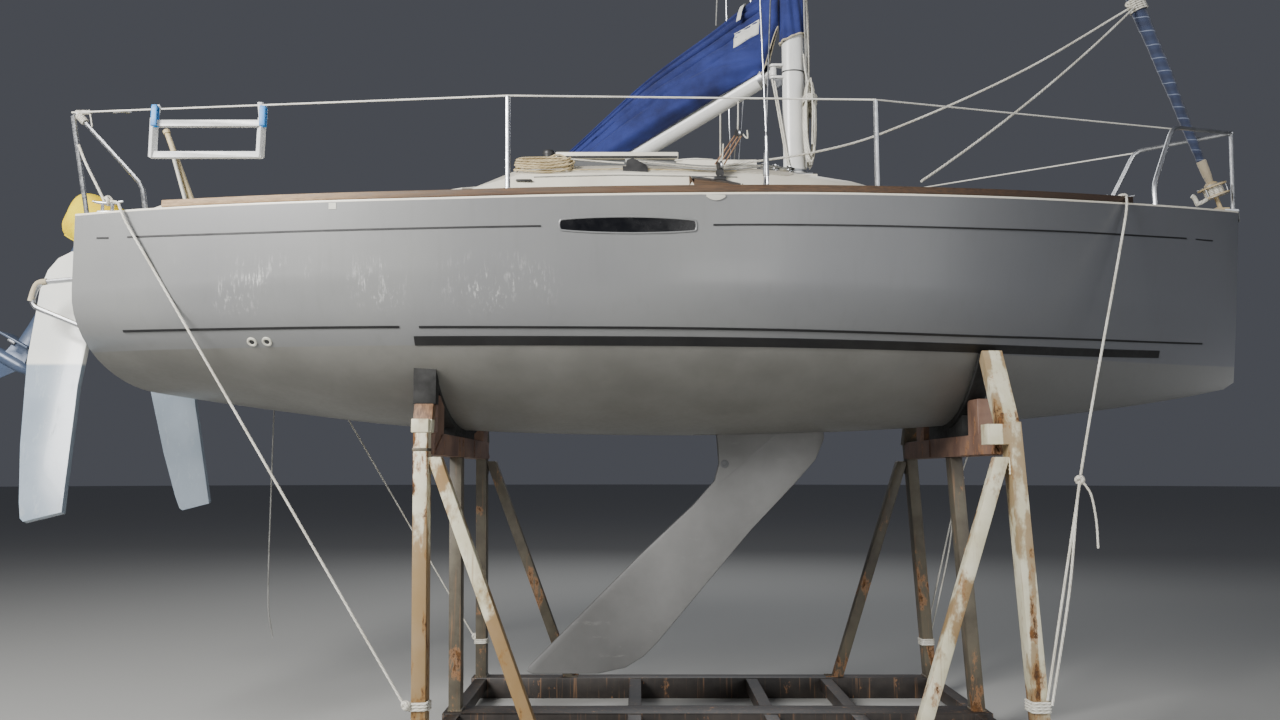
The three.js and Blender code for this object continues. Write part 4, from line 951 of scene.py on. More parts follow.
def cover_points():
    """A section carried along the boom, its half width moved in and out by the folds."""
    round_end = -NOSE * np.cos(np.linspace(0, np.pi / 2, 12))
    along = np.concatenate([round_end, np.linspace(0.02, COVER_END, 150)])
    _, ridge, belly = fair(COVER_ROWS, np.clip(along, 0, COVER_END)).T
    belly = belly * np.sqrt(np.clip(1 - (np.minimum(along, 0) / NOSE) ** 2, 0, 1))
    closing = rises(COVER_END - along, 0.05) ** 0.5
    belly = belly * (0.25 + 0.75 * closing)
    ridge = BOOM_TOP + (ridge - BOOM_TOP) * (0.35 + 0.65 * closing)
    # the hem hangs beside the boom, and rises in an arch round the gooseneck
    arch = np.clip(1 - (along + NOSE) / 0.09, 0, 1)
    hem = BOOM_TOP - 0.050 + 0.25 * arch**0.75
    q = np.linspace(-1, 1, 91)
    share, out, up = fair(COVER_SECTION, np.abs(q)).T
    height = hem[:, None] + (ridge - hem)[:, None] * up
    s = along[:, None] + 0 * q
    level = (height - BOOM_TOP) / np.maximum(ridge - BOOM_TOP, 0.01)[:, None]
    # creases that run along, deepest under the ridge
    creases = sum(depth * np.exp(-(((level - at) / wide) ** 2)) for at, wide, depth in CREASES)
    # folds that fan out from the gooseneck
    angle = np.arctan2(height, s + 0.22)
    fan = 0.010 * np.sin(angle * 31 + 0.6 * np.sin(s * 5))
    fan = fan * rises(s, 0.25) * rises(0.72 - level, 0.3) * rises(2.2 - s, 0.5)
    gather = 0.006 * np.sin(level * 34 + s * 3) * rises(s - 1.5, 0.7)
    sway = 0.008 * np.sin(s * 4.2 + 1.0) * np.sin(np.pi * np.clip(level, 0, 1))
    away = rises(s, 0.12)
    width = belly[:, None] * out + (fan + gather - creases) * away * np.sign(out)
    width = np.maximum(width, belly[:, None] * out * 0.35)
    # the hem stays clear of the boom
    beside = rises(0.12 - level, 0.06) * rises(s, 0.10) * rises(2.228 - s, 0.02)
    width = np.maximum(width, 0.0625 * beside)
    return by_boom(s, height, np.sign(q) * width + sway * away)


def area_of(points):
    """The area of a grid of points, as the sum of its cells."""
    a = points[1:, 1:] - points[:-1, :-1]
    b = points[1:, :-1] - points[:-1, 1:]
    return float(np.linalg.norm(np.cross(a, b), axis=-1).sum() / 2)


CLOTH_THICK = {"thickness": 0.0022, "offset": -1.0}
sheet_points = cover_points()
cover = piece(
    "sail_cover_cloth",
    [surface(sheet_points, NAVY)],
    "boom",
    replaces=("sail_cover",),
    sharp=70,
    modifiers=(("SOLIDIFY", CLOTH_THICK),),
)
cover_area = round(area_of(sheet_points), 2)

# %% [markdown]
# The sleeve is laced round the mast above the gooseneck. Its lower edge is cut in an arch, bound with a
# beige tape, and it is a little loose, so it shows upright folds.

# %% The sleeve round the mast
MAST = {"x": 0.912, "foot": 3.176, "top": 11.2, "long": 0.064, "wide": 0.044}


def sleeve_points():
    """An oval round the mast, carried upwards. Its lower edge climbs from the after side to the fore."""
    turn = np.linspace(0, 2 * np.pi, 96, endpoint=False)
    low = 4.03 + 0.030 * np.cos(turn)
    rise = np.linspace(0, 1, 48)[:, None]
    z = low + (4.515 - low) * rise
    folds = 0.0045 * np.sin(turn * 9 + 2.2 * np.sin(z * 6)) + 0.003 * np.sin(turn * 5 - z * 9)
    slack = 0.011 + folds * np.clip(1.1 - 0.6 * rise, 0, 1)
    x = MAST["x"] + (MAST["long"] + slack) * np.cos(turn)
    y = (MAST["wide"] + slack) * np.sin(turn)
    return np.stack([x, y, z], axis=-1)


sleeve = sleeve_points()
mast_sleeve = piece(
    "mast_cover_cloth",
    [surface(sleeve, NAVY, around=True)],
    "boat",
    replaces=("mast_cover",),
    sharp=70,
    modifiers=(("SOLIDIFY", CLOTH_THICK),),
)
loop = np.concatenate([sleeve, sleeve[:, :1]], axis=1)
round(area_of(loop), 3)

# bound edges: thin tubes along the cover's arch and the sleeve's lower edge
arch_edge = np.concatenate([sheet_points[15::-1, 0], sheet_points[1:16, -1]])
sleeve_edge = np.concatenate([sleeve[0], sleeve[0, :2]])
piece("cover_edging", [tube(arch_edge, 0.0045, COLLAR, 8)], "boom")
piece("sleeve_edging", [tube(sleeve_edge, 0.006, COLLAR, 8)], "boat")

# %% [markdown]
# Sewn to the cover are a blank white patch near its head, on both sides, and a white strap above it. A
# white hook holds the after end. The sail itself is a bundle of white cloth along the boom, which shows
# under the hem.

# %% Patch, strap and the sail's bundle
PATCH_WHITE = cloth("white patch", tone(226, 226, 220), tone(204, 204, 196))
s_grid, h_grid = np.meshgrid(np.linspace(0.075, 0.240, 9), np.linspace(0, 1, 7), indexing="ij")
across = (sheet_points - GOOSENECK) @ np.linalg.pinv(np.stack([ALONG_BOOM, UP, ABEAM]))


def cover_half_width(s, up, side):
    """How far out the cover stands at a distance and a height, from its own grid."""
    half = across[:, :46] if side < 0 else across[:, 45:]
    gap = (half[..., 0] - s[..., None, None]) ** 2 + (half[..., 1] - up[..., None, None]) ** 2
    gap = gap.reshape(*s.shape, -1)
    near = np.argsort(gap, axis=-1)[..., :6]
    weight = 1 / (np.take_along_axis(gap, near, axis=-1) + 1e-6)
    return (half[..., 2].ravel()[near] * weight).sum(-1) / weight.sum(-1)


up_grid = 0.255 + 0.095 * h_grid - 0.06 * (s_grid - 0.17)
patches = [
    surface(by_boom(s_grid, up_grid, cover_half_width(s_grid, up_grid, side) + side * 0.0035), PATCH_WHITE)
    for side in SIDES
]
PATCH_THICK = {"thickness": 0.0015, "offset": 0.0}
piece("blank_patches", patches, "boom", modifiers=(("SOLIDIFY", PATCH_THICK),))

bundle_run = np.linspace(0.05, 2.19, 90)
bundle_size = 0.026 + 0.004 * np.sin(bundle_run * 31) + 0.003 * np.sin(bundle_run * 73 + 1)
bundle = tube(by_boom(bundle_run, 0.098 + 0 * bundle_run), bundle_size, PATCH_WHITE, 18)
# places by the boom: along it and above its axis, for the strap above it and to its port side
LEECH = np.array([(0.06, 0.11), (0.05, 0.2), (0.045, 0.32)])
HOOK = np.array([(2.16, 0.06), (2.20, 0.12), (2.235, 0.15), (2.235, 0.10), (2.20, 0.055)])
STRAP = np.array([(0.40, -0.085), (0.475, -0.05), (0.53, 0), (0.475, 0.05), (0.40, 0.085)])
leech = tube(curve(by_boom(*LEECH.T), 16), 0.02, PATCH_WHITE, 12)
piece("sail_bundle", [bundle, leech], "boom")

fastenings = [
    tube(curve(by_boom(*HOOK.T), 24), 0.007, WHITE_PLASTIC, 10),
    strap(curve(by_boom(np.full(5, 0.20), *STRAP.T), 24), ALONG_BOOM, 0.03, 0.003, PATCH_WHITE),
]
piece("cover_hook_and_strap", fastenings, "boom")

# %% [markdown]
# The headsail is rolled round its stay, with a dark-blue strip outermost that keeps the sun off. Rolled
# on, its edge is a spiral: the radius steps by a few millimetres where one turn lies over the next, and
# the colour changes along the same spiral. The tack is a pale patch of cloth at the foot of the roll.

# %% The rolled headsail
TACK = np.array([3.382, 0.0, 3.095])
HOUNDS = np.array([MAST["x"] + MAST["long"] - 0.003, 0.0, 10.080])
STAY = HOUNDS - TACK
# share of the stay, radius of the roll
ROLL = [
    [0.012, 0.022],
    [0.050, 0.027],
    [0.090, 0.034],
    [0.160, 0.042],
    [0.250, 0.046],
    [0.450, 0.044],
    [0.750, 0.034],
    [0.930, 0.022],
]


def turns_of_cloth(length):
    """How many turns of cloth lie below a distance up the stay: they are closest at the foot."""
    return 17.2 / 0.6 * np.log1p(0.6 * length)


def headsail_cloth():
    """The map's first number counts the turns, so one thin light edge shows in each of them."""
    made = Finish("rolled headsail", tone(46, 58, 88), 0.8, Sheen_Weight=0.3)
    u, v = made.along()
    wander = made.noise(5, 2, 0.4) * 0.35
    phase = ((u + v + wander) * (2 * np.pi)).sine()
    clouds = made.noise(6, 4, 0.6, stretch=(1, 1, 0.5)).ramp(0.3, 0.7)
    strip = made.mix(clouds, tone(48, 59, 88), tone(36, 45, 70))
    # painted shade under the edge of each turn, where the next one laps over it
    painted_lap_shade = made.mix(phase.ramp(-1.0, 0.2, 0.4, 0.0), strip, tone(24, 30, 50))
    made.set("Base Color", made.mix(phase.ramp(0.965, 0.99) * 0.6, painted_lap_shade, tone(140, 150, 172)))
    made.dents(phase.ramp(-1, 1) * 0.5 + made.noise(16, 4, 0.6) * 0.4, 0.004, 0.5)
    return made


def roll_points():
    """A circle carried up the stay: its radius steps down once in each turn of the spiral."""
    share = np.linspace(0.012, 0.93, 700)
    radius = fair(ROLL, share)[:, 1]
    length = share * np.linalg.norm(STAY)
    turn = np.linspace(0, 2 * np.pi, 30, endpoint=False)
    run, first, second = axes_of(STAY)
    phase = np.mod(turn / (2 * np.pi) + turns_of_cloth(length)[:, None], 1.0)
    lumps = 0.0022 * np.sin(length[:, None] * 7 + turn) + 0.0015 * np.sin(length[:, None] * 17 - 2 * turn)
    size = radius[:, None] * (1 - 0.06 * phase) + lumps * np.clip(radius[:, None] / 0.04, 0, 1)
    ring = np.cos(turn)[:, None] * first + np.sin(turn)[:, None] * second
    return TACK + share[:, None, None] * STAY + size[..., None] * ring


HEADSAIL = headsail_cloth()
roll = surface(roll_points(), HEADSAIL, around=True, caps=True, turns=True)
roll["chart"][:, 0] = turns_of_cloth(roll["chart"][:, 0])
ROLL_FOOT = [(0.035, 0.014), (0.050, 0.0190), (0.085, 0.0220), (0.100, 0.0245), (0.150, 0.0262)]
ROLL_FOOT += [(0.190, 0.0275), (0.196, 0.0240)]
SWIVEL = [(0, 0.004), (0.004, 0.03), (0.05, 0.03), (0.054, 0.012), (0.09, 0.012), (0.094, 0.026)]
SWIVEL += [(0.12, 0.026), (0.124, 0.004)]
foot_of_roll = turned(ROLL_FOOT, TACK, STAY, GOLD_CLOTH)
wire = tube(straight(TACK + STAY * 0.925, TACK + STAY * 0.9985, 3), 0.005, THIN_WIRE, 8)
swivel = turned(SWIVEL, TACK + STAY * 0.934, STAY, STEEL)
piece(
    "headsail_roll",
    [roll, foot_of_roll, wire, swivel],
    "boat",
    replaces=("furled_jib",),
    sharp=80,
)

# %% [markdown]
# The outboard's cowl wears a loose yellow hood with an elastic hem. It is the cowl's own shape, a little
# larger, with folds that gather towards the hem and a seam over the top.

# %% The yellow hood on the outboard
PIVOT = np.array([-2.995, -0.300, 2.600])
TILT = np.radians(29)


def on_motor(x, y, z):
    """The motor's own upright frame, tilted back round its pin."""
    x, y, z = np.broadcast_arrays(x, y, z)
    back = x * np.cos(TILT) + z * np.sin(TILT)
    up = -x * np.sin(TILT) + z * np.cos(TILT)
    return PIVOT + np.stack([back, y, up], axis=-1)


COWL_X = -0.135
# height, half length, half width of the hood
HOOD = [
    [0.046, 0.112, 0.080],
    [0.060, 0.134, 0.098],
    [0.110, 0.166, 0.123],
    [0.230, 0.171, 0.129],
    [0.290, 0.150, 0.112],
    [0.318, 0.100, 0.075],
    [0.326, 0.050, 0.036],
    [0.328, 0.001, 0.001],
]


def hood_points():
    """An oval carried up the cowl, with pleats that are deepest at the hem."""
    row = np.concatenate([np.linspace(0.046, 0.30, 34), np.linspace(0.303, 0.328, 14)])
    _, long, wide = fair(HOOD, row).T
    turn = np.linspace(0, 2 * np.pi, 120, endpoint=False)
    low = np.clip((0.16 - row) / 0.1, 0, 1)[:, None]
    pleats = 0.006 * np.sin(turn * 16 + 1.5 * np.sin(turn * 3)) * low
    slack = 0.004 * np.sin(turn * 4 + row[:, None] * 21) * np.clip((0.31 - row) / 0.1, 0, 1)[:, None]
    out = 1 + (pleats + slack) / 0.13
    x = COWL_X + long[:, None] * out * np.sign(np.cos(turn)) * np.abs(np.cos(turn)) ** 0.85
    y = wide[:, None] * out * np.sign(np.sin(turn)) * np.abs(np.sin(turn)) ** 0.85
    return on_motor(x, y, row[:, None] + 0 * turn)


hood = hood_points()
seam_turn = np.linspace(0, np.pi, 60)
seam = on_motor(COWL_X, 0.131 * np.cos(seam_turn), 0.09 + 0.243 * np.sin(seam_turn) ** 0.55)
piece(
    "outboard_hood",
    [
        surface(hood, YELLOW, around=True, caps=True),
        tube(np.concatenate([hood[0], hood[0, :2]]), 0.005, YELLOW, 8),
        tube(seam[4:-4], 0.003, YELLOW, 8),
    ],
    "outboard",
    replaces=("outboard_cowl",),
    sharp=75,
)

# %% [markdown]
# Stripes on a hull are tape. Each one here is a thin closed strip that follows the skin: its upper and
# lower edges are fair lines through a few measured heights, and its outer face is lifted three
# millimetres off the skin, square to it. The long window below the deck is made in the same way.

# %% Tapes and windows on the topsides
# height of the tape, then rows of x and the height of its middle: four lengths of the thin line, two of
# the boot line, and the black band
TAPES = [
    (0.008, [[-2.665, 2.592], [-2.63, 2.591], [-2.602, 2.590]]),
    (0.008, [[-2.50, 2.590], [-1.90, 2.588], [-1.20, 2.591], [-0.465, 2.598]]),
    (0.008, [[0.345, 2.608], [1.05, 2.629], [1.68, 2.655], [2.50, 2.711], [3.02, 2.753]]),
    (0.007, [[3.085, 2.757], [3.15, 2.761], [3.215, 2.766]]),
    (0.009, [[-2.547, 2.141], [-1.80, 2.139], [-1.145, 2.137]]),
    (0.009, [[-1.05, 2.136], [0.2, 2.133], [1.08, 2.132], [1.70, 2.137], [2.50, 2.160], [3.19, 2.179]]),
    (0.039, [[-1.08, 2.0755], [0.2, 2.075], [1.08, 2.076], [1.70, 2.080], [2.40, 2.092], [2.90, 2.107]]),
]
TAPE_LIFT, PANE_LIFT, UNDER_SKIN = 0.0030, 0.0012, -0.002


def on_hull_strip(x, low, high, side, lift, finish, across=3):
    """A closed strip: the outer face lifted off the skin, the inner one just under it."""
    outer = low[:, None] + (high - low)[:, None] * np.linspace(0, 1, across)
    z = np.concatenate([outer, outer[:, ::-1]], axis=1)
    points = on_skin(x[:, None], z, np.repeat([lift, UNDER_SKIN], across), side)
    return surface(points, finish, around=True, caps=True)


strips = []
for height, rows in TAPES:
    x = np.linspace(rows[0][0], rows[-1][0], max(6, int((rows[-1][0] - rows[0][0]) / 0.05)))
    middle = fair(rows, x)[:, 1]
    for side in SIDES:
        strips.append(on_hull_strip(x, middle - height / 2, middle + height / 2, side, TAPE_LIFT, TAPE))
piece("hull_tapes", strips, "boat")

# its ends, the height of its middle, half its height in the middle and at the ends, and the share of its
# length that each round end takes
WINDOW = {"aft": -0.378, "fore": 0.266, "z": 2.603, "half": 0.034, "end": 0.019, "round": 0.016}


def window_half(share):
    """A long lens: high in the middle, with small round ends."""
    lens_part = WINDOW["end"] + (WINDOW["half"] - WINDOW["end"]) * (1 - (2 * share - 1) ** 2) ** 0.8
    end = np.clip(np.minimum(share, 1 - share) / WINDOW["round"], 0, 1)
    return lens_part * np.sqrt(np.clip(1 - (1 - end) ** 2, 0.0004, 1))


share = 0.5 - 0.5 * np.cos(np.pi * np.linspace(0, 1, 90))
window_x = WINDOW["aft"] + (WINDOW["fore"] - WINDOW["aft"]) * share
half = window_half(share)
rim_half = half + 0.004
loop_x = np.concatenate([window_x, window_x[::-1]])
loop_z = WINDOW["z"] + np.concatenate([rim_half, -rim_half[::-1]])
panes = []
for side in SIDES:
    low, high = WINDOW["z"] - half, WINDOW["z"] + half
    panes.append(on_hull_strip(window_x, low, high, side, PANE_LIFT, SMOKED, 9))
    rim = on_skin(loop_x, loop_z, 0.001, side)
    panes.append(tube(np.concatenate([rim, rim[:2]]), 0.0045, TOPSIDES, 8))
piece("hull_windows", panes, "boat")

# %% [markdown]
# Below the boot line two drains come out through the starboard side and one through the port side, each
# with a white collar. The sheer carries a white fairlead in the gap of the teak rail, and a small blank
# plate sits above the stripe near the cockpit.

# %% Drains, plates and fairleads
COLLAR_RADIUS = 0.026
# distance off the skin, share of the radius
COLLAR_RIM = [(-0.004, 0.45), (0.002, 0.5), (0.005, 0.7), (0.004, 0.95), (-0.004, 1.0)]
COLLAR_HOLE = [(0.0022, 0.001 / COLLAR_RADIUS), (0.0018, 0.53)]
# x, height and side
DRAINS = [(-1.888, 2.080, -1), (-1.811, 2.080, -1), (-1.30, 2.16, 1)]


def collar(x, z, side):
    """A flat collar round a dark hole: two profiles turned about the skin's own direction."""
    centre, out = on_skin(np.array([x, x]), z, np.array([0.0, 0.01]), side)
    return [
        turned([(off, share * COLLAR_RADIUS) for off, share in profile], centre, out - centre, finish)
        for profile, finish in ((COLLAR_RIM, WHITE_PLASTIC), (COLLAR_HOLE, BLACK))
    ]


piece("hull_drains", [shape for place in DRAINS for shape in collar(*place)], "boat")

plate_x = np.linspace(-1.476, -1.440, 4)
plates = [on_hull_strip(plate_x, 0 * plate_x + 2.690, 0 * plate_x + 2.720, -1, 0.002, WHITE_PLASTIC)]
lead_x = np.linspace(0.312, 0.401, 12)
lead_low = 2.722 + 0.016 * np.linspace(-1, 1, 12) ** 2
for side in SIDES:
    plates.append(on_hull_strip(lead_x, lead_low, 0 * lead_x + 2.748, side, 0.006, WHITE_PLASTIC))
piece("sheer_plates", plates, "boat")

# %% [markdown]
# Where people walk, the deck is moulded with a non-slip pattern in panels, with smooth channels between
# them that lead the water away. Each panel is a thin closed sheet over the deck's own height, between an
# inner and an outer line.

# %% Non-slip panels
PANEL_LIFT, PANEL_SINK, PANEL_END = 0.0016, -0.003, 0.035
SEAT_Z, SOLE_Z = 2.560, 2.290


def drawn_in(x, inset):
    """How far a panel's edges draw in near its two ends, on a quarter of an oval."""
    ends = np.clip(np.minimum(x - x[0], x[-1] - x) / PANEL_END, 0, 1)
    return inset * (1 - np.sqrt(np.clip(1 - (1 - ends) ** 2, 0, 1)))


def deck_panel(x, inner, outer, lift=PANEL_LIFT, across=10, finish=GRIP):
    """A sheet over the deck from one line to another, with its ends rounded in."""
    inset = drawn_in(x, 0.028) * np.sign(outer - inner)
    low, high = inner + inset, outer - inset
    y = low[:, None] + (high - low)[:, None] * np.linspace(0, 1, across)
    top = on_deck(x[:, None], y, lift)
    bottom = on_deck(x[:, None], y, PANEL_SINK)[:, ::-1]
    return surface(np.concatenate([top, bottom], axis=1), finish, around=True, caps=True)


def flat_panel(x0, x1, y0, y1, z):
    """A level panel with rounded corners, as one closed slab."""
    x = np.linspace(x0, x1, 24)
    inset = drawn_in(x, PANEL_END)
    near, far = y0 + inset, y1 - inset
    rim = [(near, PANEL_LIFT), (far, PANEL_LIFT), (far, PANEL_SINK), (near, PANEL_SINK)]
    points = np.stack([np.stack([x, y, 0 * x + z + up], axis=-1) for y, up in rim], axis=1)
    return surface(points, GRIP, around=True, caps=True)


def edge_of_deck(x):
    """Just inside the teak rail."""
    return stations(x)[0] - 0.065


def edge_of_roof(x):
    """Just outside the coachroof's foot."""
    return np.interp(x, DECK_ROWS[:, 0], DECK_ROWS[:, 1]) + 0.03


def roof_shoulder(x):
    """Where the coachroof's side turns over to its top."""
    return np.interp(x, DECK_ROWS[:, 0], DECK_ROWS[:, 2])


panels = []
for side in SIDES:
    # side decks, from the cockpit to the mast, then the foredeck
    for first, last in ((-0.82, -0.05), (0.02, 0.52), (0.70, 1.30), (1.37, 2.02), (2.09, 2.62)):
        x = np.linspace(first, last, 24)
        inner = np.maximum(edge_of_roof(x), 0.05)
        panels.append(deck_panel(x, side * inner, side * edge_of_deck(x)))
    x = np.linspace(-0.44, 0.84, 30)
    panels.append(deck_panel(x, side * 0.345, side * (roof_shoulder(x) - 0.03)))
piece("deck_grip", panels, "boat")

cockpit = [flat_panel(-2.36, -0.95, -0.32, 0.32, SOLE_Z)]
for side in SIDES:
    for first, last in ((-2.33, -1.68), (-1.62, -0.95)):
        cockpit.append(flat_panel(first, last, *sorted((side * 0.40, side * 0.735)), SEAT_Z))
piece("cockpit_grip", cockpit, "boat")

# %% [markdown]
# The running gear on the coachroof comes next. Each fitting is a few turned or cut shapes that stand on
# the deck's own height: line clutches, vents, turning blocks at the mast's foot, tracks with their cars,
# cleats at the bow and the stern, and lines that run flat along the roof between them.

# %% Helpers for fittings
def line(points, radius, finish):
    """A rope or wire through a few points."""
    points = np.asarray(points, float)
    return tube(curve(points, max(10, int(length_of(points) / 0.03))), radius, finish, 8)


def sided(points, side):
    """Places that are given for the starboard side, on the given side."""
    return np.asarray(points, float) * (1, -side, 1)


def upright(outline, near, far, side, finish):
    """A flat outline that stands along the boat, between two distances from the middle."""
    return slice_of(outline, *sorted((side * near, side * far)), finish)


def box_of(x0, x1, z0, z1):
    """The outline of an upright rectangle."""
    return [(x0, z0), (x0, z1), (x1, z1), (x1, z0)]


def pulley(middle, axis, radius, cheek=STEEL, sheave=BLACK):
    """Two cheeks and a grooved wheel between them."""
    wheel = [(-0.007, 0.6), (-0.007, 0.9), (0, 0.7), (0.007, 0.9), (0.007, 0.6)]
    shapes = [turned([(off, share * radius) for off, share in wheel], middle, axis, sheave)]
    for sign in SIDES:
        disc = [(sign * 0.008, 0.002), (sign * 0.008, radius), (sign * 0.011, radius), (sign * 0.012, 0.002)]
        shapes.append(turned(disc, middle, axis, cheek))
    return shapes


def horn_cleat(x, y, height=0.05, half=0.075):
    """Two feet, and a bar whose ends curve up a little."""
    base = float(deck_z(x, y))
    along = np.linspace(-half, half, 17)
    rise = base + height + 0.010 * (along / half) ** 2
    size = 0.009 * (1 - 0.45 * (np.abs(along) / half) ** 3)
    shapes = [tube(np.stack([x + along, y + 0 * along, rise], axis=-1), size, STEEL, 12)]
    shapes.append(soft_box((x, y, base + 0.004), (0.09, 0.034, 0.010), 0.004, STEEL))
    for foot_x in (x - 0.024, x + 0.024):
        shapes.append(tube(straight((foot_x, y, base), (foot_x, y, base + height), 4), 0.008, STEEL))
    return shapes


def bolt_head(place, direction, radius=0.011, finish=STEEL):
    """A low domed head."""
    profile = [(-0.001, radius), (0.35 * radius, radius), (0.75 * radius, 0.6 * radius)]
    profile.append((0.85 * radius, 0.001))
    return turned(profile, place, direction, finish, 10)


def declare(rope_piece, path, diameter, far_end="bare", lay="hanging", **more):
    """Prints how much rope a piece holds along a path."""
    print(rope_piece.name, "holds", round(length_of(path), 2), "m of rope")


# %% Clutches, vents, blocks and tracks
# x and distance from the middle of the turning blocks by the mast
BLOCKS = [(0.700, 0.300), (0.765, 0.300), (0.845, 0.290)]
TRACK_Y = 0.598
gear, roof_blocks, vents = [], [], []
for side in SIDES:
    low = float(deck_z(-0.03, 0.575)) - 0.010
    gear.append(upright(box_of(-0.092, 0.042, low, low + 0.035), 0.485, 0.575, side, BLACK))
    lever = [(-0.076, low + 0.03), (-0.070, 3.114), (-0.038, 3.125), (-0.030, 3.121), (0.036, 3.086)]
    lever.append((0.036, low + 0.03))
    for shift in (0.004, 0.036, 0.068):
        inner = min(side * 0.485, side * 0.575) + shift
        gear.append(slice_of(lever, inner, inner + 0.022, BLACK))
    vents.append(soft_box(on_deck(-0.610, side * 0.655, 0.003), (0.085, 0.034, 0.012), 0.005, BLACK))
    for x, y in BLOCKS:
        middle = on_deck(x, side * y, 0.026)
        roof_blocks += pulley(middle, (0.35, 0.1 * side, 1.0), 0.026)
        roof_blocks.append(turned([(-0.03, 0.008), (-0.004, 0.008)], middle, (0, 0, 1), STEEL, 10))
    # the jib's track: a strip of wood on the roof's side, a rail on it, and a car with its block
    x = np.linspace(0.262, 0.548, 12)
    roof_blocks.append(deck_panel(x, side * 0.588, side * 0.612, 0.010, 5, TEAK))
    rail = on_deck(np.linspace(0.275, 0.535, 8), side * TRACK_Y, 0.016)
    gear.append(strap(rail, (0, 0.85, -0.5), 0.022, 0.008, GREY_ALLOY))
    car = on_deck(0.425, side * TRACK_Y, 0.030)
    gear.append(soft_box(car, (0.066, 0.034, 0.022), 0.006, BLACK))
    gear += pulley(car + (0.0, 0, 0.032), (0, 1, 0.3), 0.022, BLACK, GREY_ALLOY)
piece("roof_gear", gear, "boat")
piece("roof_blocks", roof_blocks, "boat")
piece("roof_vents", vents, "boat")

# x, distance from the middle, then height and half length where they differ from a large cleat's
CLEATS = [(2.636, 0.42), (-2.640, 0.955), (-1.30, 0.985, 0.04, 0.06)]
cleats = [shape for x, y, *size in CLEATS for side in SIDES for shape in horn_cleat(x, side * y, *size)]
piece("deck_cleats", cleats, "boat")

# %% [markdown]
# Control lines lie flat on the roof. They lead aft from the blocks at the mast's foot, past the track,
# through the clutch to the winch.

# %% Lines on the roof
LINE_RADIUS = 0.0045
# finish, then rows of x, y and height over the roof
LEADS = [
    (GREY_ROPE, [[-0.08, 0.500, 0.040], [0.05, 0.505, 0.035], [0.42, 0.480, 0.012], [0.70, 0.325, 0.026]]),
    (WHITE_ROPE, [[-0.08, 0.530, 0.040], [0.05, 0.535, 0.035], [0.45, 0.505, 0.012], [0.765, 0.326, 0.026]]),
    (GREY_ROPE, [[-0.08, 0.560, 0.040], [0.05, 0.560, 0.035], [0.48, 0.530, 0.012], [0.845, 0.316, 0.026]]),
]
lines = []
for side in SIDES:
    for finish, rows in LEADS:
        x, y, lift = fair(rows, np.linspace(rows[0][0], rows[-1][0], 60)).T
        lines.append(tube(on_deck(x, side * y, np.maximum(lift, LINE_RADIUS)), LINE_RADIUS, finish, 8))
    # from the winch to the clutch, and two more that lie along the shoulder
    x = np.linspace(-0.47, -0.085, 14)
    y, z = [np.interp(x, (-0.47, -0.085), ends) for ends in ((0.488, 0.530), (3.150, 3.108))]
    lines.append(tube(np.stack([x, side * y, z], axis=-1), LINE_RADIUS, WHITE_ROPE, 8))
    x = np.linspace(-0.56, 0.52, 40)
    for away, finish in ((0.030, BEIGE_ROPE), (-0.012, GREY_ROPE)):
        lines.append(tube(on_deck(x, side * (roof_shoulder(x) - away), 0.005), 0.0035, finish, 8))
    # from the mast's foot to the turning blocks
    for (x, _), z in zip(BLOCKS, (3.20, 3.21, 3.22)):
        start = on_deck(x, side * 0.278, 0.026)
        lines.append(line([start, (0.885, side * 0.050, z)], LINE_RADIUS, WHITE_ROPE))
    # a line that comes down from the lid's fore end
    from_lid = [(0.195, -0.345, 3.180), (0.30, -0.40, 3.172), (0.40, -0.455, 3.150)]
    lines.append(line(sided(from_lid, side), 0.004, WHITE_ROPE))
piece("roof_lines", lines, "boat")

# %% [markdown]
# The tail of the halyard lies in a flat coil beside the starboard winch. It is one rope: from the winch it
# drops to the roof and winds up in five turns, each a rope's thickness above the last.

# %% The coil on the roof
def oval_coil(middle, along, across, first, second, turns, climb, seed, wander=0.07):
    """Points round an oval, in the plane of the first two directions, climbing along the third."""
    t = np.linspace(0, turns, int(turns * 24) + 1)
    angle = 2 * np.pi * t
    size = 1 + wander * np.sin(angle * 0.37 + seed) + 0.5 * wander * np.sin(angle * 1.31 + 2 * seed)
    a = (along * size * np.cos(angle))[:, None] * first
    b = (across * size * np.sin(angle))[:, None] * second
    return np.asarray(middle) + a + b + (climb * t)[:, None] * np.cross(first, second)


ALONG, PORT = np.array([1.0, 0.0, 0.0]), np.array([0.0, 1.0, 0.0])
TAIL_DIAMETER = 0.011
coil = oval_coil((-0.515, -0.585, 0.0), 0.150, 0.042, ALONG, PORT, 5, 0.0128, 0.8)
coil[:, 2] += deck_z(coil[:, 0], coil[:, 1]) + 0.007
off_winch = [(-0.500, -0.4845, 3.150), (-0.440, -0.500, 3.165), (-0.375, -0.535, 3.115)]
entry = curve([*off_winch, coil[0] + (0.002, -0.006, 0.004)], 16)
coil_path = curve(np.concatenate([entry[:-1], coil[2:]]), 190)
rope_coil = piece("rope_coil", [tube(coil_path, TAIL_DIAMETER / 2, BEIGE_ROPE, 10)], "boat")
declare(rope_coil, coil_path, TAIL_DIAMETER, lay="coiled")

# %% [markdown]
# The sliding hatch has a dark seal along its lower edge, a handle at its after end, and rails under it on
# the roof. Forward of the mast a smoked hatch is let into the deck, and near the stem a lid closes the
# anchor's locker.

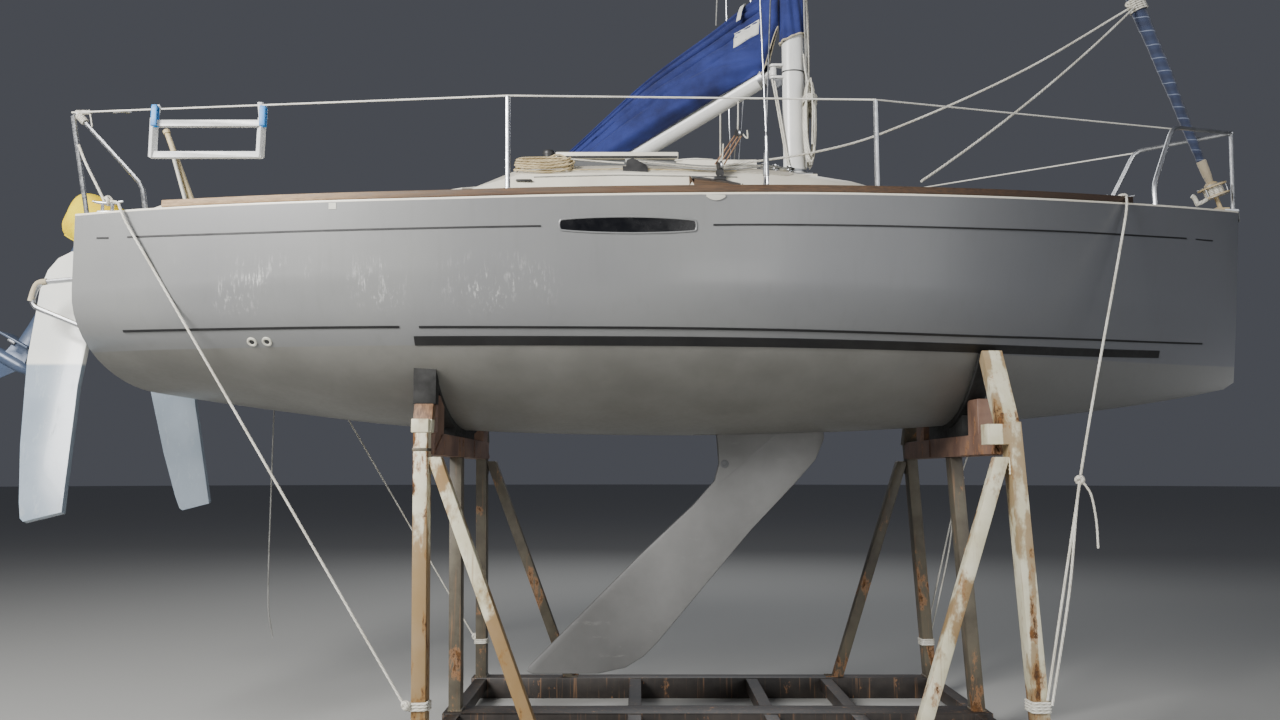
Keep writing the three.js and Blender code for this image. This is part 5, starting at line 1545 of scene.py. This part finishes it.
# %% Hatches
DARK_ALLOY = plain("dark alloy", tone(84, 86, 88), 0.5)
seals = [upright(box_of(-0.466, 0.209, 3.197, 3.209), 0.3303, 0.334, side, BLACK) for side in SIDES]
handle = [(-0.455, -0.10, 3.243), (-0.455, -0.10, 3.262), (-0.455, 0.10, 3.262), (-0.455, 0.10, 3.243)]
seals.append(tube(curve(handle, 30), 0.006, STEEL, 8))
piece("lid_trim", seals, "hatch_lid")
rails = [upright(box_of(-0.45, 0.20, 3.158, 3.1935), 0.3055, 0.311, side, DARK_ALLOY) for side in SIDES]
piece("lid_rails", rails, "boat")

hatch = [
    deck_panel(np.linspace(1.44, 1.90, 18), -0.225, 0.225, 0.020, 14, WHITE_PLASTIC),
    deck_panel(np.linspace(1.47, 1.87, 18), -0.195, 0.195, 0.026, 14, SMOKED),
]
x = np.linspace(2.74, 3.12, 16)
wide = np.interp(x, (2.74, 3.12), (0.20, 0.085))
locker = [
    deck_panel(x, -wide - 0.006, wide + 0.006, 0.0015, 10, BLACK),
    deck_panel(x, -wide, wide, 0.005, 10, DECK_RESIN),
    soft_box(on_deck(2.79, 0.0, 0.008), (0.03, 0.05, 0.012), 0.004, STEEL),
]
piece("foredeck_hatch", hatch, "boat")
piece("anchor_locker", locker, "boat")

# %% [markdown]
# At the stem a dark plate caps the bow between two bright cheeks. Small white chocks stand on the edge of
# the foredeck, and a white fairlead for the furling line, with the line in it, stands by the drum's foot.

# %% The stem
stem_z = float(deck_z(3.40, 0.0))
# x, and height over the deck's edge
CAP = [(3.30, 0.001), (3.508, 0.004), (3.513, -0.020), (3.516, -0.060)]
stem = [strap(curve([(x, 0, stem_z + up) for x, up in CAP], 24), (0, 1, 0), 0.036, 0.004, DARK_ALLOY)]
cheek = [(3.42, stem_z), (3.43, stem_z + 0.014), (3.506, stem_z + 0.012), (3.510, stem_z)]
stem += [upright(cheek, 0.024, 0.027, side, STEEL) for side in SIDES]
piece("stem_fitting", stem, "boat")
chocks = []
for side in SIDES:
    chocks.append(soft_box(on_deck(3.145, side * 0.105, 0.014), (0.034, 0.022, 0.030), 0.008, WHITE_PLASTIC))
elbow = [(3.236, -0.03, 3.060), (3.248, -0.03, 3.052), (3.262, -0.03, 3.022), (3.262, -0.03, 3.012)]
chocks.append(tube(curve(elbow, 16), 0.013, WHITE_PLASTIC, 10))
chocks.append(line([(3.258, -0.03, 3.008), (3.300, -0.03, 3.026), (3.340, -0.02, 3.052)], 0.011, WHITE_ROPE))
piece("bow_chocks", chocks, "boat")

# %% [markdown]
# The standing rigging has more than its main wires: a lower shroud on each side, the screws that tighten
# them, and the fittings at the spreaders and the masthead. Every wire starts on a plate and ends on the
# mast.

# %% Shrouds, screws and spreader ends
# a rigging screw, as distances along the wire and radii: two bright ends and a thicker body
SCREW = [
    (0.000, 0.004), (0.004, 0.008), (0.030, 0.008), (0.034, 0.006), (0.070, 0.006), (0.074, 0.0105),
    (0.200, 0.0105), (0.204, 0.006), (0.240, 0.006), (0.244, 0.0078), (0.300, 0.0072), (0.310, 0.004),
]
SPREADER_TIP = [(-0.05, 0.006), (-0.04, 0.016), (0.02, 0.019), (0.05, 0.008)]
# place on the mast's starboard side and length of the plates that hold the lower and the upper shroud
TANGS = [((0.893, -0.047, 6.95), 0.05), ((0.905, -0.042, 10.07), 0.045)]


def screw_on(low, high):
    """A rigging screw at the lower end of a wire."""
    return turned(SCREW, low, np.subtract(high, low), STEEL, 12)


plate_z = float(deck_z(0.628, 1.0))
wires, ends = [], []
for side in SIDES:
    foot = on_deck(0.612, side * 0.985)
    eye = foot + (0.003, 0, 0.055)
    head = (0.893, side * 0.046, 6.930)
    wires.append(tube(straight(eye, head, 4), 0.0042, STEEL, 8))
    ends.append(screw_on(eye, head))
    ends.append(screw_on((0.628, side * 1.0, plate_z + 0.045), (0.628, side * 0.975, plate_z + 0.325)))
    ends.append(soft_box(foot + (0, 0, 0.028), (0.040, 0.008, 0.064), 0.003, STEEL))
    ends.append(turned(SPREADER_TIP, (0.540, side * 0.713, 7.050), (0, 0, 1), BLACK, 14))
    for place, long in TANGS:
        ends.append(soft_box(sided(place, side), (long, 0.012, 0.09), 0.005, STEEL))
piece("lower_shrouds", wires, "boat")
piece("rigging_screws", ends, "boat")

# %% [markdown]
# The mast has a track up its after side, sheaves in its crane, a steel web under the gooseneck, a plate
# at its foot, and two bands: a steel one near the foot and a dark one at the height of the gooseneck. The
# boom has a collar behind the gooseneck and a black end cap.

# %% The mast's and the boom's fittings
mast_x, mast_long, mast_wide = MAST["x"], MAST["long"], MAST["wide"]
track_x = mast_x - mast_long - 0.0015
web = [(0.776, 3.782), (0.790, 3.735), (0.812, 3.724), (0.848, 3.745), (0.848, 3.782)]
trims = [
    strap(straight((track_x, 0, 4.55), (track_x, 0, 11.10), 3), (0, 1, 0), 0.020, 0.006, GREY_ALLOY),
    slice_of(web, -0.010, 0.010, STEEL),
    soft_box((mast_x, 0, 3.182), (0.20, 0.15, 0.016), 0.005, STEEL),
]
for x in (0.770, 0.985):
    trims += pulley((x, 0.0, 11.155), (0, 1, 0), 0.030, STEEL, BLACK)
band_turn = np.linspace(0, 2 * np.pi, 41)
band_x = mast_x + (mast_long + 0.0015) * np.cos(band_turn)
band_y = (mast_wide + 0.0015) * np.sin(band_turn)
for z, wide, finish in ((3.821, 0.007, BLACK), (3.215, 0.014, STEEL)):
    band = np.stack([band_x, band_y, 0 * band_x + z], axis=-1)
    trims.append(strap(band, (0, 0, 1), wide, 0.003, finish))
piece("mast_fittings", trims, "boat", sharp=30)

END_CAP = [(-0.004, 0.030), (0.002, 0.058), (0.010, 0.058), (0.018, 0.046), (0.020, 0.002)]
BOOM_COLLAR = [(-0.03, 0.0560), (-0.03, 0.0568), (0.004, 0.0568), (0.004, 0.0560)]
boom_trims = [
    turned(END_CAP, by_boom(2.25, 0.0), ALONG_BOOM, BLACK),
    turned(BOOM_COLLAR, by_boom(0.095, 0.0), ALONG_BOOM, GREY_ALLOY, 28),
]
piece("boom_ends", boom_trims, "boom")

# %% [markdown]
# A pale bundle of lines runs down the mast's fore side, each with a slack of its own. The halyards' spare
# lengths hang beside it as long hanks: loops as tall as a forearm, side by side, with a few turns round
# their neck and one end left to hang.

# %% Lines and hanks on the mast
FALLS_FOOT = 3.235
# x and y at the foot, bow of the slack, finish, top
FALLS = [
    (0.980, -0.030, 0.020, WHITE_ROPE, 4.60),
    (0.984, -0.012, 0.012, GREY_ROPE, 6.90),
    (0.984, 0.006, 0.028, WHITE_ROPE, 10.9),
    (0.980, 0.022, 0.010, WHITE_ROPE, 10.9),
    (0.974, -0.044, 0.008, GREY_ROPE, 10.9),
]
falls = []
for x, y, slack, finish, top in FALLS:
    z = np.linspace(FALLS_FOOT, top, 90)
    share = (z - FALLS_FOOT) / (top - FALLS_FOOT)
    bow = slack * np.sin(np.pi * np.clip((z - FALLS_FOOT) / 1.35, 0, 1)) + 0.002 * np.sin(z * 11 + x * 900)
    path = np.stack([x + bow, y * (1 - 0.3 * share) + 0.3 * bow * np.sign(y), z], axis=-1)
    falls.append(tube(path, LINE_RADIUS, finish, 8))
piece("mast_falls", falls, "boat")

HANK_DIAMETER = 0.009
# name, middle, half height, half width, turns, seed of the wander
HANKS = [
    ("hank_outer", (0.990, -0.058, 3.485), 0.230, 0.028, 11, 0.4),
    ("hank_inner", (1.006, 0.030, 3.450), 0.205, 0.020, 7, 2.1),
]
# steps from the top of the first loop up, and from the end of the last loop down
LEAD_IN = [(-0.020, 0.012, 0.19), (-0.012, 0.010, 0.09), (-0.003, 0.004, 0.03), (0, 0, 0)]
TAIL_OUT = [(0, 0, 0), (0.003, -0.010, -0.05), (0.006, -0.013, -0.20), (0.000, -0.012, -0.40)]
for name, middle, tall, wide, turns, seed in HANKS:
    loops = oval_coil(middle, tall, wide, UP, ALONG, turns, -1.12 * HANK_DIAMETER, seed)
    lead = curve(loops[0] + LEAD_IN, 12)
    tail = curve(loops[-1] + TAIL_OUT, 16)
    hank_path = curve(np.concatenate([lead[:-1], loops, tail[1:]]), 40 * turns)
    hank = piece(name, [tube(hank_path, HANK_DIAMETER / 2, WHITE_ROPE, 8)], "boat")
    # four turns round the neck
    half_deep = (np.ptp(loops[:, 1]) + HANK_DIAMETER) / 2 + 0.004
    angle = np.linspace(0, 2 * np.pi * 4, 100)
    neck_x = middle[0] + (wide + 0.012) * np.cos(angle)
    neck_y = loops[:, 1].mean() + half_deep * np.sin(angle)
    neck_z = middle[2] + 0.105 + 0.0095 * angle / (2 * np.pi)
    neck = tube(np.stack([neck_x, neck_y, neck_z], axis=-1), HANK_DIAMETER / 2, WHITE_ROPE, 8)
    whipping = piece(name + "_turns", [neck], "boat")
    declare(hank, hank_path, HANK_DIAMETER, with_pieces=[whipping])

# %% [markdown]
# Lines that join the boom to the boat run between the two bodies and belong to neither of them. The
# tackle's upper block hangs on one of them, and its three tan parts lead down to a block on the track's
# car.

# %% Lines under the boom
upper_block = np.array([0.566, -0.150, 3.395])
lower_block = on_deck(0.425, -TRACK_Y, 0.098)
reef_foot, grey_foot = on_deck(0.512, 0.400, 0.004), on_deck(0.587, 0.400, 0.004)
line_top = upper_block + (0, 0, 0.030)
# name, finish, radius, then the end on the boat, a place between and the end on the boom
HUNG = [
    ("reef_line", WHITE_ROPE, 0.005, reef_foot, (0.505, 0.365, 3.270), by_boom(0.372, -0.050)),
    ("block_line", WHITE_ROPE, 0.005, line_top, (0.580, -0.030, 3.540), by_boom(0.245, -0.050)),
    ("main_halyard", GREY_ROPE, 0.004, (0.752, 0.0, 11.120), (0.600, 0.07, 7.50), by_boom(0.398, 0.512)),
]
for name, finish, radius, *points in HUNG:
    made = piece(name, [line(points, radius, finish)], "boat")
    made.parent = None
    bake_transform(made)

tackle = [soft_box(lower_block - (0, 0, 0.038), (0.014, 0.014, 0.036), 0.004, STEEL)]
for block in (upper_block, lower_block):
    tackle += pulley(block, (1.0, 0.2, 0.2), 0.028, BLACK, GREY_ALLOY)
piece("tackle", tackle, "boat")

# finish, radius, points
STRANDS = [
    (RED_ROPE, 0.0042, [upper_block + (shift, 0.0, -0.012), lower_block + (shift * 1.2, 0.0, 0.012)])
    for shift in (-0.020, 0.0, 0.020)
]
STRANDS += [
    (WHITE_ROPE, 0.004, upper_block + [(0.026, -0.004, 0.0), (0.052, -0.03, -0.035), (0.05, -0.04, 0.01)]),
    (GREY_ROPE, 0.003, [upper_block + (-0.01, 0.01, -0.02), (0.583, 0.365, 3.270), grey_foot]),
    (WHITE_ROPE, 0.004, [(0.448, -0.560, 3.205), (0.440, -0.575, 3.120), lower_block]),
    (WHITE_ROPE, 0.0048, [(0.878, -0.052, 3.215), (0.800, -0.014, 3.765)]),
    (WHITE_ROPE, 0.0048, [(0.868, -0.050, 3.220), (0.786, -0.014, 3.775)]),
]
strands = [line(points, radius, finish) for finish, radius, points in STRANDS]
piece("tackle_lines", strands, "boat")

# %% [markdown]
# The jib's two sheets are made fast to its clew, which the last turns of the roll leave at the height of a
# standing crew. The nearer one drops nearly straight to the side deck. The other sags to the mast's foot
# and on to the roof. Each is one rope, so its length is real.

# %% The jib's sheets
CLEW_SHARE = 0.164
clew = TACK + CLEW_SHARE * STAY
clew_radius = float(fair(ROLL, CLEW_SHARE)[0, 1])
wraps = [
    thick_ring(clew + shift * STAY, STAY, clew_radius + 0.006, 0.0055, WHITE_ROPE)
    for shift in (-0.0045, -0.0027, -0.0009, 0.0009, 0.0027, 0.0045)
]
knot_at = clew + (-(clew_radius + 0.016), -0.010, 0.0)
knot = thick_ring(knot_at, (0.2, 1, 0.3), 0.010, 0.007, WHITE_ROPE, 14)
piece("clew_turns", wraps + [knot], "boat")

SHEET_DIAMETER = 0.0125
near_path = straight((2.957, -0.034, 4.215), (1.383, -1.010, 2.872), 80)
share = np.linspace(0, 1, len(near_path))
near_path[:, 2] -= 0.045 * 4 * share * (1 - share)
far_points = [(2.953, -0.014, 4.226), (2.200, -0.170, 3.755), (1.353, -0.300, 3.345)]
far_path = curve([*far_points, (0.945, -0.400, 3.205), (0.455, -0.470, 3.112)], 110)
for name, sheet_path in (("near_sheet", near_path), ("far_sheet", far_path)):
    low = deck_z(sheet_path[:, 0], sheet_path[:, 1]) + SHEET_DIAMETER / 2 + 0.001
    sheet_path[:, 2] = np.maximum(sheet_path[:, 2], low)
    sheet = piece(name, [tube(sheet_path, SHEET_DIAMETER / 2, WHITE_ROPE, 8)], "boat")
    declare(sheet, sheet_path, SHEET_DIAMETER, "object")

# %% [markdown]
# The furling drum is moulded in a pale colour between two thin steel flanges, and holds a few turns of its
# own line. Three thin steel bars stand round it.

# %% The furling drum
run, first, second = axes_of(STAY)
drum = [turned([(0.034, 0.015), (0.036, 0.040), (0.048, 0.036), (0.060, 0.019)], TACK, STAY, GOLD_DRUM)]
for share in (-0.0047, 0.0047):
    drum.append(thick_ring(TACK + share * STAY, STAY, 0.0795, 0.0022, STEEL, 36))
for share in np.linspace(-0.0026, 0.0026, 5):
    drum.append(thick_ring(TACK + share * STAY, STAY, 0.050, LINE_RADIUS, WHITE_ROPE, 30))
for angle in 2 * np.pi * np.arange(3) / 3 + 0.5:
    axis = TACK + 0.070 * (np.cos(angle) * first + np.sin(angle) * second)
    drum.append(tube(straight(axis - 0.0046 * STAY, axis + 0.0046 * STAY, 4), 0.004, STEEL))
piece("drum_trim", drum, "boat")

# %% [markdown]
# At the stern the lifeline ends in a rigging screw and a white lashing round the pushpit's corner. Ropes
# tie the boat down to the feet of the cradle, over the edge of the deck at each quarter and at the bow.
# Places are given for the starboard side, and carried over to the port side.

# %% Lashings
def wound_on(path, radius, rope_radius):
    """Rope wound closely round a path: a helix."""
    long = length_of(path)
    pitch = 2.15 * rope_radius
    count = max(24, int(long / pitch * 14))
    middle = curve(path, count)
    run = unit(np.gradient(middle, axis=0))
    first = unit(np.cross(run, (0.3, 0.9, 0.31)))
    second = np.cross(run, first)
    angle = np.linspace(0, 2 * np.pi * long / pitch, count)[:, None]
    helix = middle + radius * (np.cos(angle) * first + np.sin(angle) * second)
    return tube(helix, rope_radius, WHITE_ROPE, 8)


def wound_on_post(x, y, low, turns, rope_radius):
    """Rope wound round a square post of the cradle."""
    angle = np.linspace(0, 2 * np.pi * turns, int(turns * 40))
    square = [np.sign(f) * np.abs(f) ** 0.3 for f in (np.cos(angle), np.sin(angle))]
    half_x, half_y = POST_HALF + rope_radius + 0.001
    z = low + 2.1 * rope_radius * angle / (2 * np.pi)
    path = np.stack([x + half_x * square[0], y + half_y * square[1], z], axis=-1)
    return tube(path, rope_radius, WHITE_ROPE, 8)


def knot_of(middle, size, rope_radius):
    """A knot: three small rings that lie across each other."""
    tilts = 0.15 * size * np.array([(1, 0.2, 0.1), (0.2, 1, 0.3), (0.5, 0.2, 1)])
    return [thick_ring(middle + tilt, tilt, size, rope_radius, WHITE_ROPE, 14) for tilt in tilts]


POST_HALF = np.array([0.034, 0.05])
LINE_SCREW = [(0, 0.005), (0.004, 0.008), (0.022, 0.008), (0.026, 0.0065), (0.07, 0.0065), (0.074, 0.009)]
LINE_SCREW += [(0.09, 0.009), (0.094, 0.005)]
# path, radius of the path's own bar, radius of the rope
QUARTER_WINDINGS = [
    ([(-2.848, -0.905, 3.258), (-2.775, -0.908, 3.2585)], 0.0085, 0.0035),
    ([(-2.836, -0.905, 3.243), (-2.800, -0.907, 3.206)], 0.0165, 0.0038),
]
# radius of the rope, path: the lashing's end, and a line from the pushpit's leg down to the cleat
LEG_LINE = [(-2.822, -0.915, 3.085), (-2.770, -0.935, 2.985), (-2.700, -0.950, 2.865)]
LEG_LINE.append((-2.655, -0.957, 2.785))
QUARTER_LINES = [
    (0.0035, [(-2.775, -0.912, 3.246), (-2.762, -0.925, 3.215), (-2.752, -0.93, 3.175)]),
    (0.0065, LEG_LINE),
]
quarter = []
for side in SIDES:
    quarter += [wound_on(sided(path, side), *radii) for path, *radii in QUARTER_WINDINGS]
    quarter += [line(sided(path, side), radius, WHITE_ROPE) for radius, path in QUARTER_LINES]
    screw_at = sided((-2.662, -0.915, 3.2595), side)
    quarter.append(turned(LINE_SCREW, screw_at, (1, 0.022 * side, 0.001), STEEL, 12))
piece("pushpit_lashings", quarter, "boat")

QUARTER_CLEAT, BOW_KNOT = (-2.640, -0.955, 2.788), (2.123, -0.950, 1.413)
QUARTER_RUN = [QUARTER_CLEAT, (-2.575, -0.990, 2.772), (-2.535, -1.041, 2.733), (-2.500, -1.052, 2.665)]
QUARTER_RUN += [(-2.360, -1.056, 2.440), (-1.095, -1.030, 0.372)]
# from the bow's cleat over the edge of the deck and down to the fore post's foot
BOW_RUN = [(2.630, -0.430, 2.950), (2.612, -0.520, 2.922), (2.600, -0.566, 2.905), (2.575, -0.596, 2.800)]
BOW_RUN += [BOW_KNOT, (2.035, -0.990, 0.900), (1.915, -1.030, 0.372)]
BOW_TAIL = [(2.120, -0.955, 1.400), (1.990, -1.000, 0.830), (1.893, -1.034, 0.395)]
tied = []
for side in SIDES:
    radius = 0.0065 if side < 0 else 0.005
    tied.append(line(sided(QUARTER_RUN, side), radius, WHITE_ROPE))
    tied.append(wound_on_post(-1.034, side * 0.97, 0.34, 3, radius))
    tied += knot_of(sided((-1.088, -1.034, 0.372), side), 0.016, 0.009)
    tied += knot_of(sided(QUARTER_CLEAT, side), 0.020, 0.007)
    if side > 0:
        # the starboard one is a piece of its own, below
        tied.append(line(sided(BOW_RUN, side), radius, WHITE_ROPE))
    tied.append(wound_on(sided([(2.628, -0.44, 2.945), (2.610, -0.52, 2.925)], side), 0.012, radius))
    tied += knot_of(sided(BOW_KNOT, side), 0.016, 0.009)
    tied.append(line(sided(BOW_TAIL, side), radius, WHITE_ROPE))
    tied.append(wound_on_post(1.871, side * 0.97, 0.33, 4, radius))
piece("cradle_lashings", tied, "boat")

# the starboard bow lashing is one rope down to the post's foot, and its end hangs from the knot; another
# line hangs over the port quarter
BOW_END = [(2.135, -0.962, 1.400), (2.158, -0.985, 1.345), (2.176, -0.990, 1.220), (2.181, -0.986, 1.090)]
PORT_END = [(-2.530, 1.030, 2.745), (-2.500, 1.062, 2.700), (-2.486, 1.072, 2.300), (-2.484, 1.075, 1.300)]
PORT_END += [(-2.476, 1.078, 0.560), (-2.440, 1.080, 0.360)]
# name, finish, diameter, far end, points
FREE_ENDS = [
    ("bow_lashing", WHITE_ROPE, 0.013, "object", BOW_RUN[1:]),
    ("bow_lashing_end", WHITE_ROPE, 0.011, "bare", BOW_END),
    ("port_line_end", GREY_ROPE, 0.010, "bare", PORT_END),
]
for name, finish, diameter, far_end, points in FREE_ENDS:
    free_path = curve(points, 70)
    free = piece(name, [tube(free_path, diameter / 2, finish, 8)], "boat")
    declare(free, free_path, diameter, far_end)

# %% [markdown]
# A white tube lies beside the tiller: the extension that lets the helm sit out, folded down on a universal
# joint. The frame that hangs from the lifeline has blue clips on its hooks. A beige sleeve guards the
# rail's bend beside the rudder, and the outboard has its clamp screws and a tiller handle.

# %% Tiller, hung frame and rail guards
STICK = unit(np.array([-0.365, 0.0, 0.931]))
HINGE = np.array([-2.500, 0.0, 2.672])
EXTENSION_LOW = (-2.585, -0.052, 2.805)
GRIP_CAP = [(0, 0.010), (0.003, 0.015), (0.030, 0.015), (0.036, 0.008)]
TILLER_END = [(0, 0.006), (0.002, 0.020), (0.020, 0.0205), (0.026, 0.014), (0.028, 0.001)]
extension_top = HINGE + STICK * 0.660 + (0.0, -0.040, 0.0)
joint_at = HINGE + STICK * 0.690 + (0.0, -0.022, 0.0)
parts = [
    tube(straight(EXTENSION_LOW, extension_top, 6), 0.0105, WHITE_PLASTIC, 14),
    turned(GRIP_CAP, extension_top, STICK, BLACK, 14),
    soft_box(joint_at, (0.030, 0.040, 0.030), 0.006, BLACK, STICK, (0, 1, 0)),
    turned(TILLER_END, HINGE + STICK * 0.832, STICK, TILLER_TEAK, 16),
]
parts += [bolt_head(HINGE + (0.0, side * 0.0345, 0.016), (0, side, 0)) for side in SIDES]
piece("tiller_extension", parts, "tiller")

LINE_Y = -1.0155
clips = []
for x in (-2.398, -1.863):
    for y in (LINE_Y - 0.0125, LINE_Y + 0.0125):
        clips.append(soft_box((x, y, 3.198), (0.030, 0.010, 0.100), 0.004, BLUE_PLASTIC))
    clips.append(soft_box((x, LINE_Y, 3.250), (0.028, 0.034, 0.012), 0.005, BLUE_PLASTIC))
piece("hook_clips", clips, "boat")

GUARD_BEND = [(-3.005, -0.80, 2.4115), (-3.050, -0.80, 2.400), (-3.068, -0.80, 2.365), (-3.081, -0.80, 2.310)]
guards = [tube(curve(sided(GUARD_BEND, side), 24), 0.0165, COLLAR, 14) for side in SIDES]
piece("guard_sleeves", guards, "boat")

# %% The outboard's fittings
clamp = []
for y in (-0.380, -0.220):
    clamp.append(tube(straight((-2.895, y, 2.375), (-2.855, y, 2.375), 3), 0.007, STEEL))
    clamp.append(soft_box((-2.855, y, 2.375), (0.010, 0.012, 0.060), 0.005, STEEL))
piece("motor_clamps", clamp, "boat")

motor_back, motor_up = on_motor(1, 0, 0) - on_motor(0, 0, 0), on_motor(0, 0, 1) - on_motor(0, 0, 0)
HANDLE = np.array([(-0.02, 0.058, 0.02), (0.06, 0.075, 0.035), (0.16, 0.078, 0.04), (0.30, 0.078, 0.04)])
handle_radius = np.interp(np.linspace(0, 1, 24), [0, 0.5, 0.55, 1], [0.014, 0.013, 0.018, 0.017])
LEG_BAND = [(-0.05, 0.040), (-0.047, 0.050), (0.0, 0.052), (0.004, 0.044)]
engine = [
    tube(curve(on_motor(*HANDLE.T), 24), handle_radius, BLACK, 14),
    turned(LEG_BAND, on_motor(-0.125, 0.0, -0.16), motor_up, MOTOR, 20),
    soft_box(on_motor(-0.20, 0.0, -0.605), (0.050, 0.028, 0.020), 0.006, GREY_ALLOY, motor_back, motor_up),
]
engine += [bolt_head(on_motor(-0.125, side * 0.0335, -0.30), (0, side, 0), 0.012) for side in SIDES]
piece("motor_fittings", engine, "outboard")

# %% [markdown]
# The cradle is welded. Every joint has a lumpy bead of weld round it, and the base has bolts where its
# rails meet the crossbars. A cream sleeve closes the near after post, and brown plates stiffen the beams'
# ends.

# %% Cradle details
def weld(first, last, radius, finish):
    """A bead: a tube whose thickness varies in small scales."""
    path = curve([first, last], max(16, int(length_of([first, last]) / 0.006)))
    run = np.arange(len(path))
    return tube(path, radius * (1 + 0.25 * np.sin(run * 1.9) + 0.12 * np.sin(run * 5.3)), finish, 6)


POST_Y = 0.970
RAIL_TOP = 0.133
STRUT_HEAD = (1.440, 1.520)
BEAM_WELDS = (1.534, 1.646)
# foot, head and strut along X
FRAMES = [(-1.030, -1.050, -0.430), (1.885, 1.800, 1.255)]
near_welds, far_welds = [], []
for foot_x, top_x, strut_x in FRAMES:
    face_x = top_x + np.sign(strut_x - foot_x) * 0.0345 + (foot_x - top_x) * (1.535 - 1.48) / 1.405
    for y in (-POST_Y, 0.0, POST_Y):
        welds, steel = (near_welds, CREAM_STEEL) if y < 0 else (far_welds, GREY_STEEL)
        # round the foot of the post
        corners = [(0.035, 0.051), (-0.035, 0.051), (-0.035, -0.051), (0.035, -0.051), (0.035, 0.051)]
        ring = [(foot_x + a, y + b, 0.1335) for a, b in corners]
        welds += [weld(first, last, 0.006, steel) for first, last in zip(ring, ring[1:])]
        if y == 0.0:
            continue
        # the strut's head meets the post, and its foot stands on the rail
        for edge in (y - 0.035, y + 0.035):
            head = [(face_x, edge, z) for z in STRUT_HEAD]
            foot = [(x, edge, RAIL_TOP) for x in (strut_x - 0.05, strut_x + 0.03)]
            welds += [weld(*ends, 0.005, steel) for ends in (head, foot)]
        inner = y - np.sign(y) * 0.0515
        for z in BEAM_WELDS:
            welds.append(weld((top_x - 0.034, inner, z), (top_x + 0.034, inner, z), 0.005, steel))
piece("near_welds", near_welds, "boat")
piece("far_welds", far_welds, "boat")

sleeve_parts = [
    soft_box((-1.0535, -POST_Y, 1.672), (0.084, 0.112, 0.066), 0.005, CREAM_STEEL),
    soft_box((-1.052, -POST_Y, 1.558), (0.074, 0.106, 0.016), 0.004, GREY_STEEL),
]
piece("post_sleeve", sleeve_parts, "boat")

# distance from the middle and height
GUSSET = np.array([(0.30, 1.540), (0.912, 1.540), (0.912, 1.556), (0.74, 1.640), (0.30, 1.640)])
plates = []
for foot_x, top_x, strut_x in FRAMES:
    towards = np.sign(strut_x - foot_x)
    x0, x1 = sorted((top_x + towards * 0.0505, top_x + towards * 0.0565))
    plates += [slice_of(GUSSET * (side, 1), x0, x1, BEAM_STEEL, axis=0) for side in SIDES]
piece("beam_plates", plates, "boat")

# bolts through the rails at each crossbar
bolts = []
for x in (-1.030, -0.030, 0.720, 1.200, 1.885):
    for side in SIDES:
        for bolt_x in (x - 0.02, x + 0.02):
            bolts.append(bolt_head((bolt_x, side * 1.0305, 0.085), (0, side, 0), finish=DARK_STEEL))
piece("base_bolts", bolts, "boat")

# %% [markdown]
# The keel has the head of a bolt in each side, where the lifting tackle is made fast.

# %% The keel's bolt
KEEL_BOLT = [(-0.004, 0.024), (0.002, 0.024), (0.004, 0.018), (0.0045, 0.012), (0.002, 0.010), (0.002, 0.001)]
keel_bolt = [
    turned(KEEL_BOLT, (0.482, side * 0.038, 1.497), (0, side, 0), DARK_ALLOY, 20) for side in SIDES
]
piece("keel_bolt", keel_bolt, "swing_keel")

# %% [markdown]
# The floor is the only thing here that isn't part of the boat. The last lines print the size of what
# was made, and close the script.

# %% Floor and size
def floor():
    """A flat pale disc: rings of points round the boat."""
    made = Finish("pale floor", tone(176, 176, 173), 0.75)
    made.dents(made.noise(30, 3), 0.0005, 0.3)
    turn = np.linspace(0, 2 * np.pi, 64, endpoint=False)
    reach = np.array([0.0, 6, 14, 40, 120])[:, None]
    points = np.stack([reach * np.cos(turn), reach * np.sin(turn), 0 * reach * turn], axis=-1)
    ground = piece("floor", [surface(points, made, around=True)], "boat", outward=False)
    ground.data.polygons.foreach_set("use_smooth", np.zeros(len(ground.data.polygons), bool))


floor()
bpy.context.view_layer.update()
print(sum(triangles.values()), "triangles in the new pieces, most in", max(triangles, key=triangles.get))
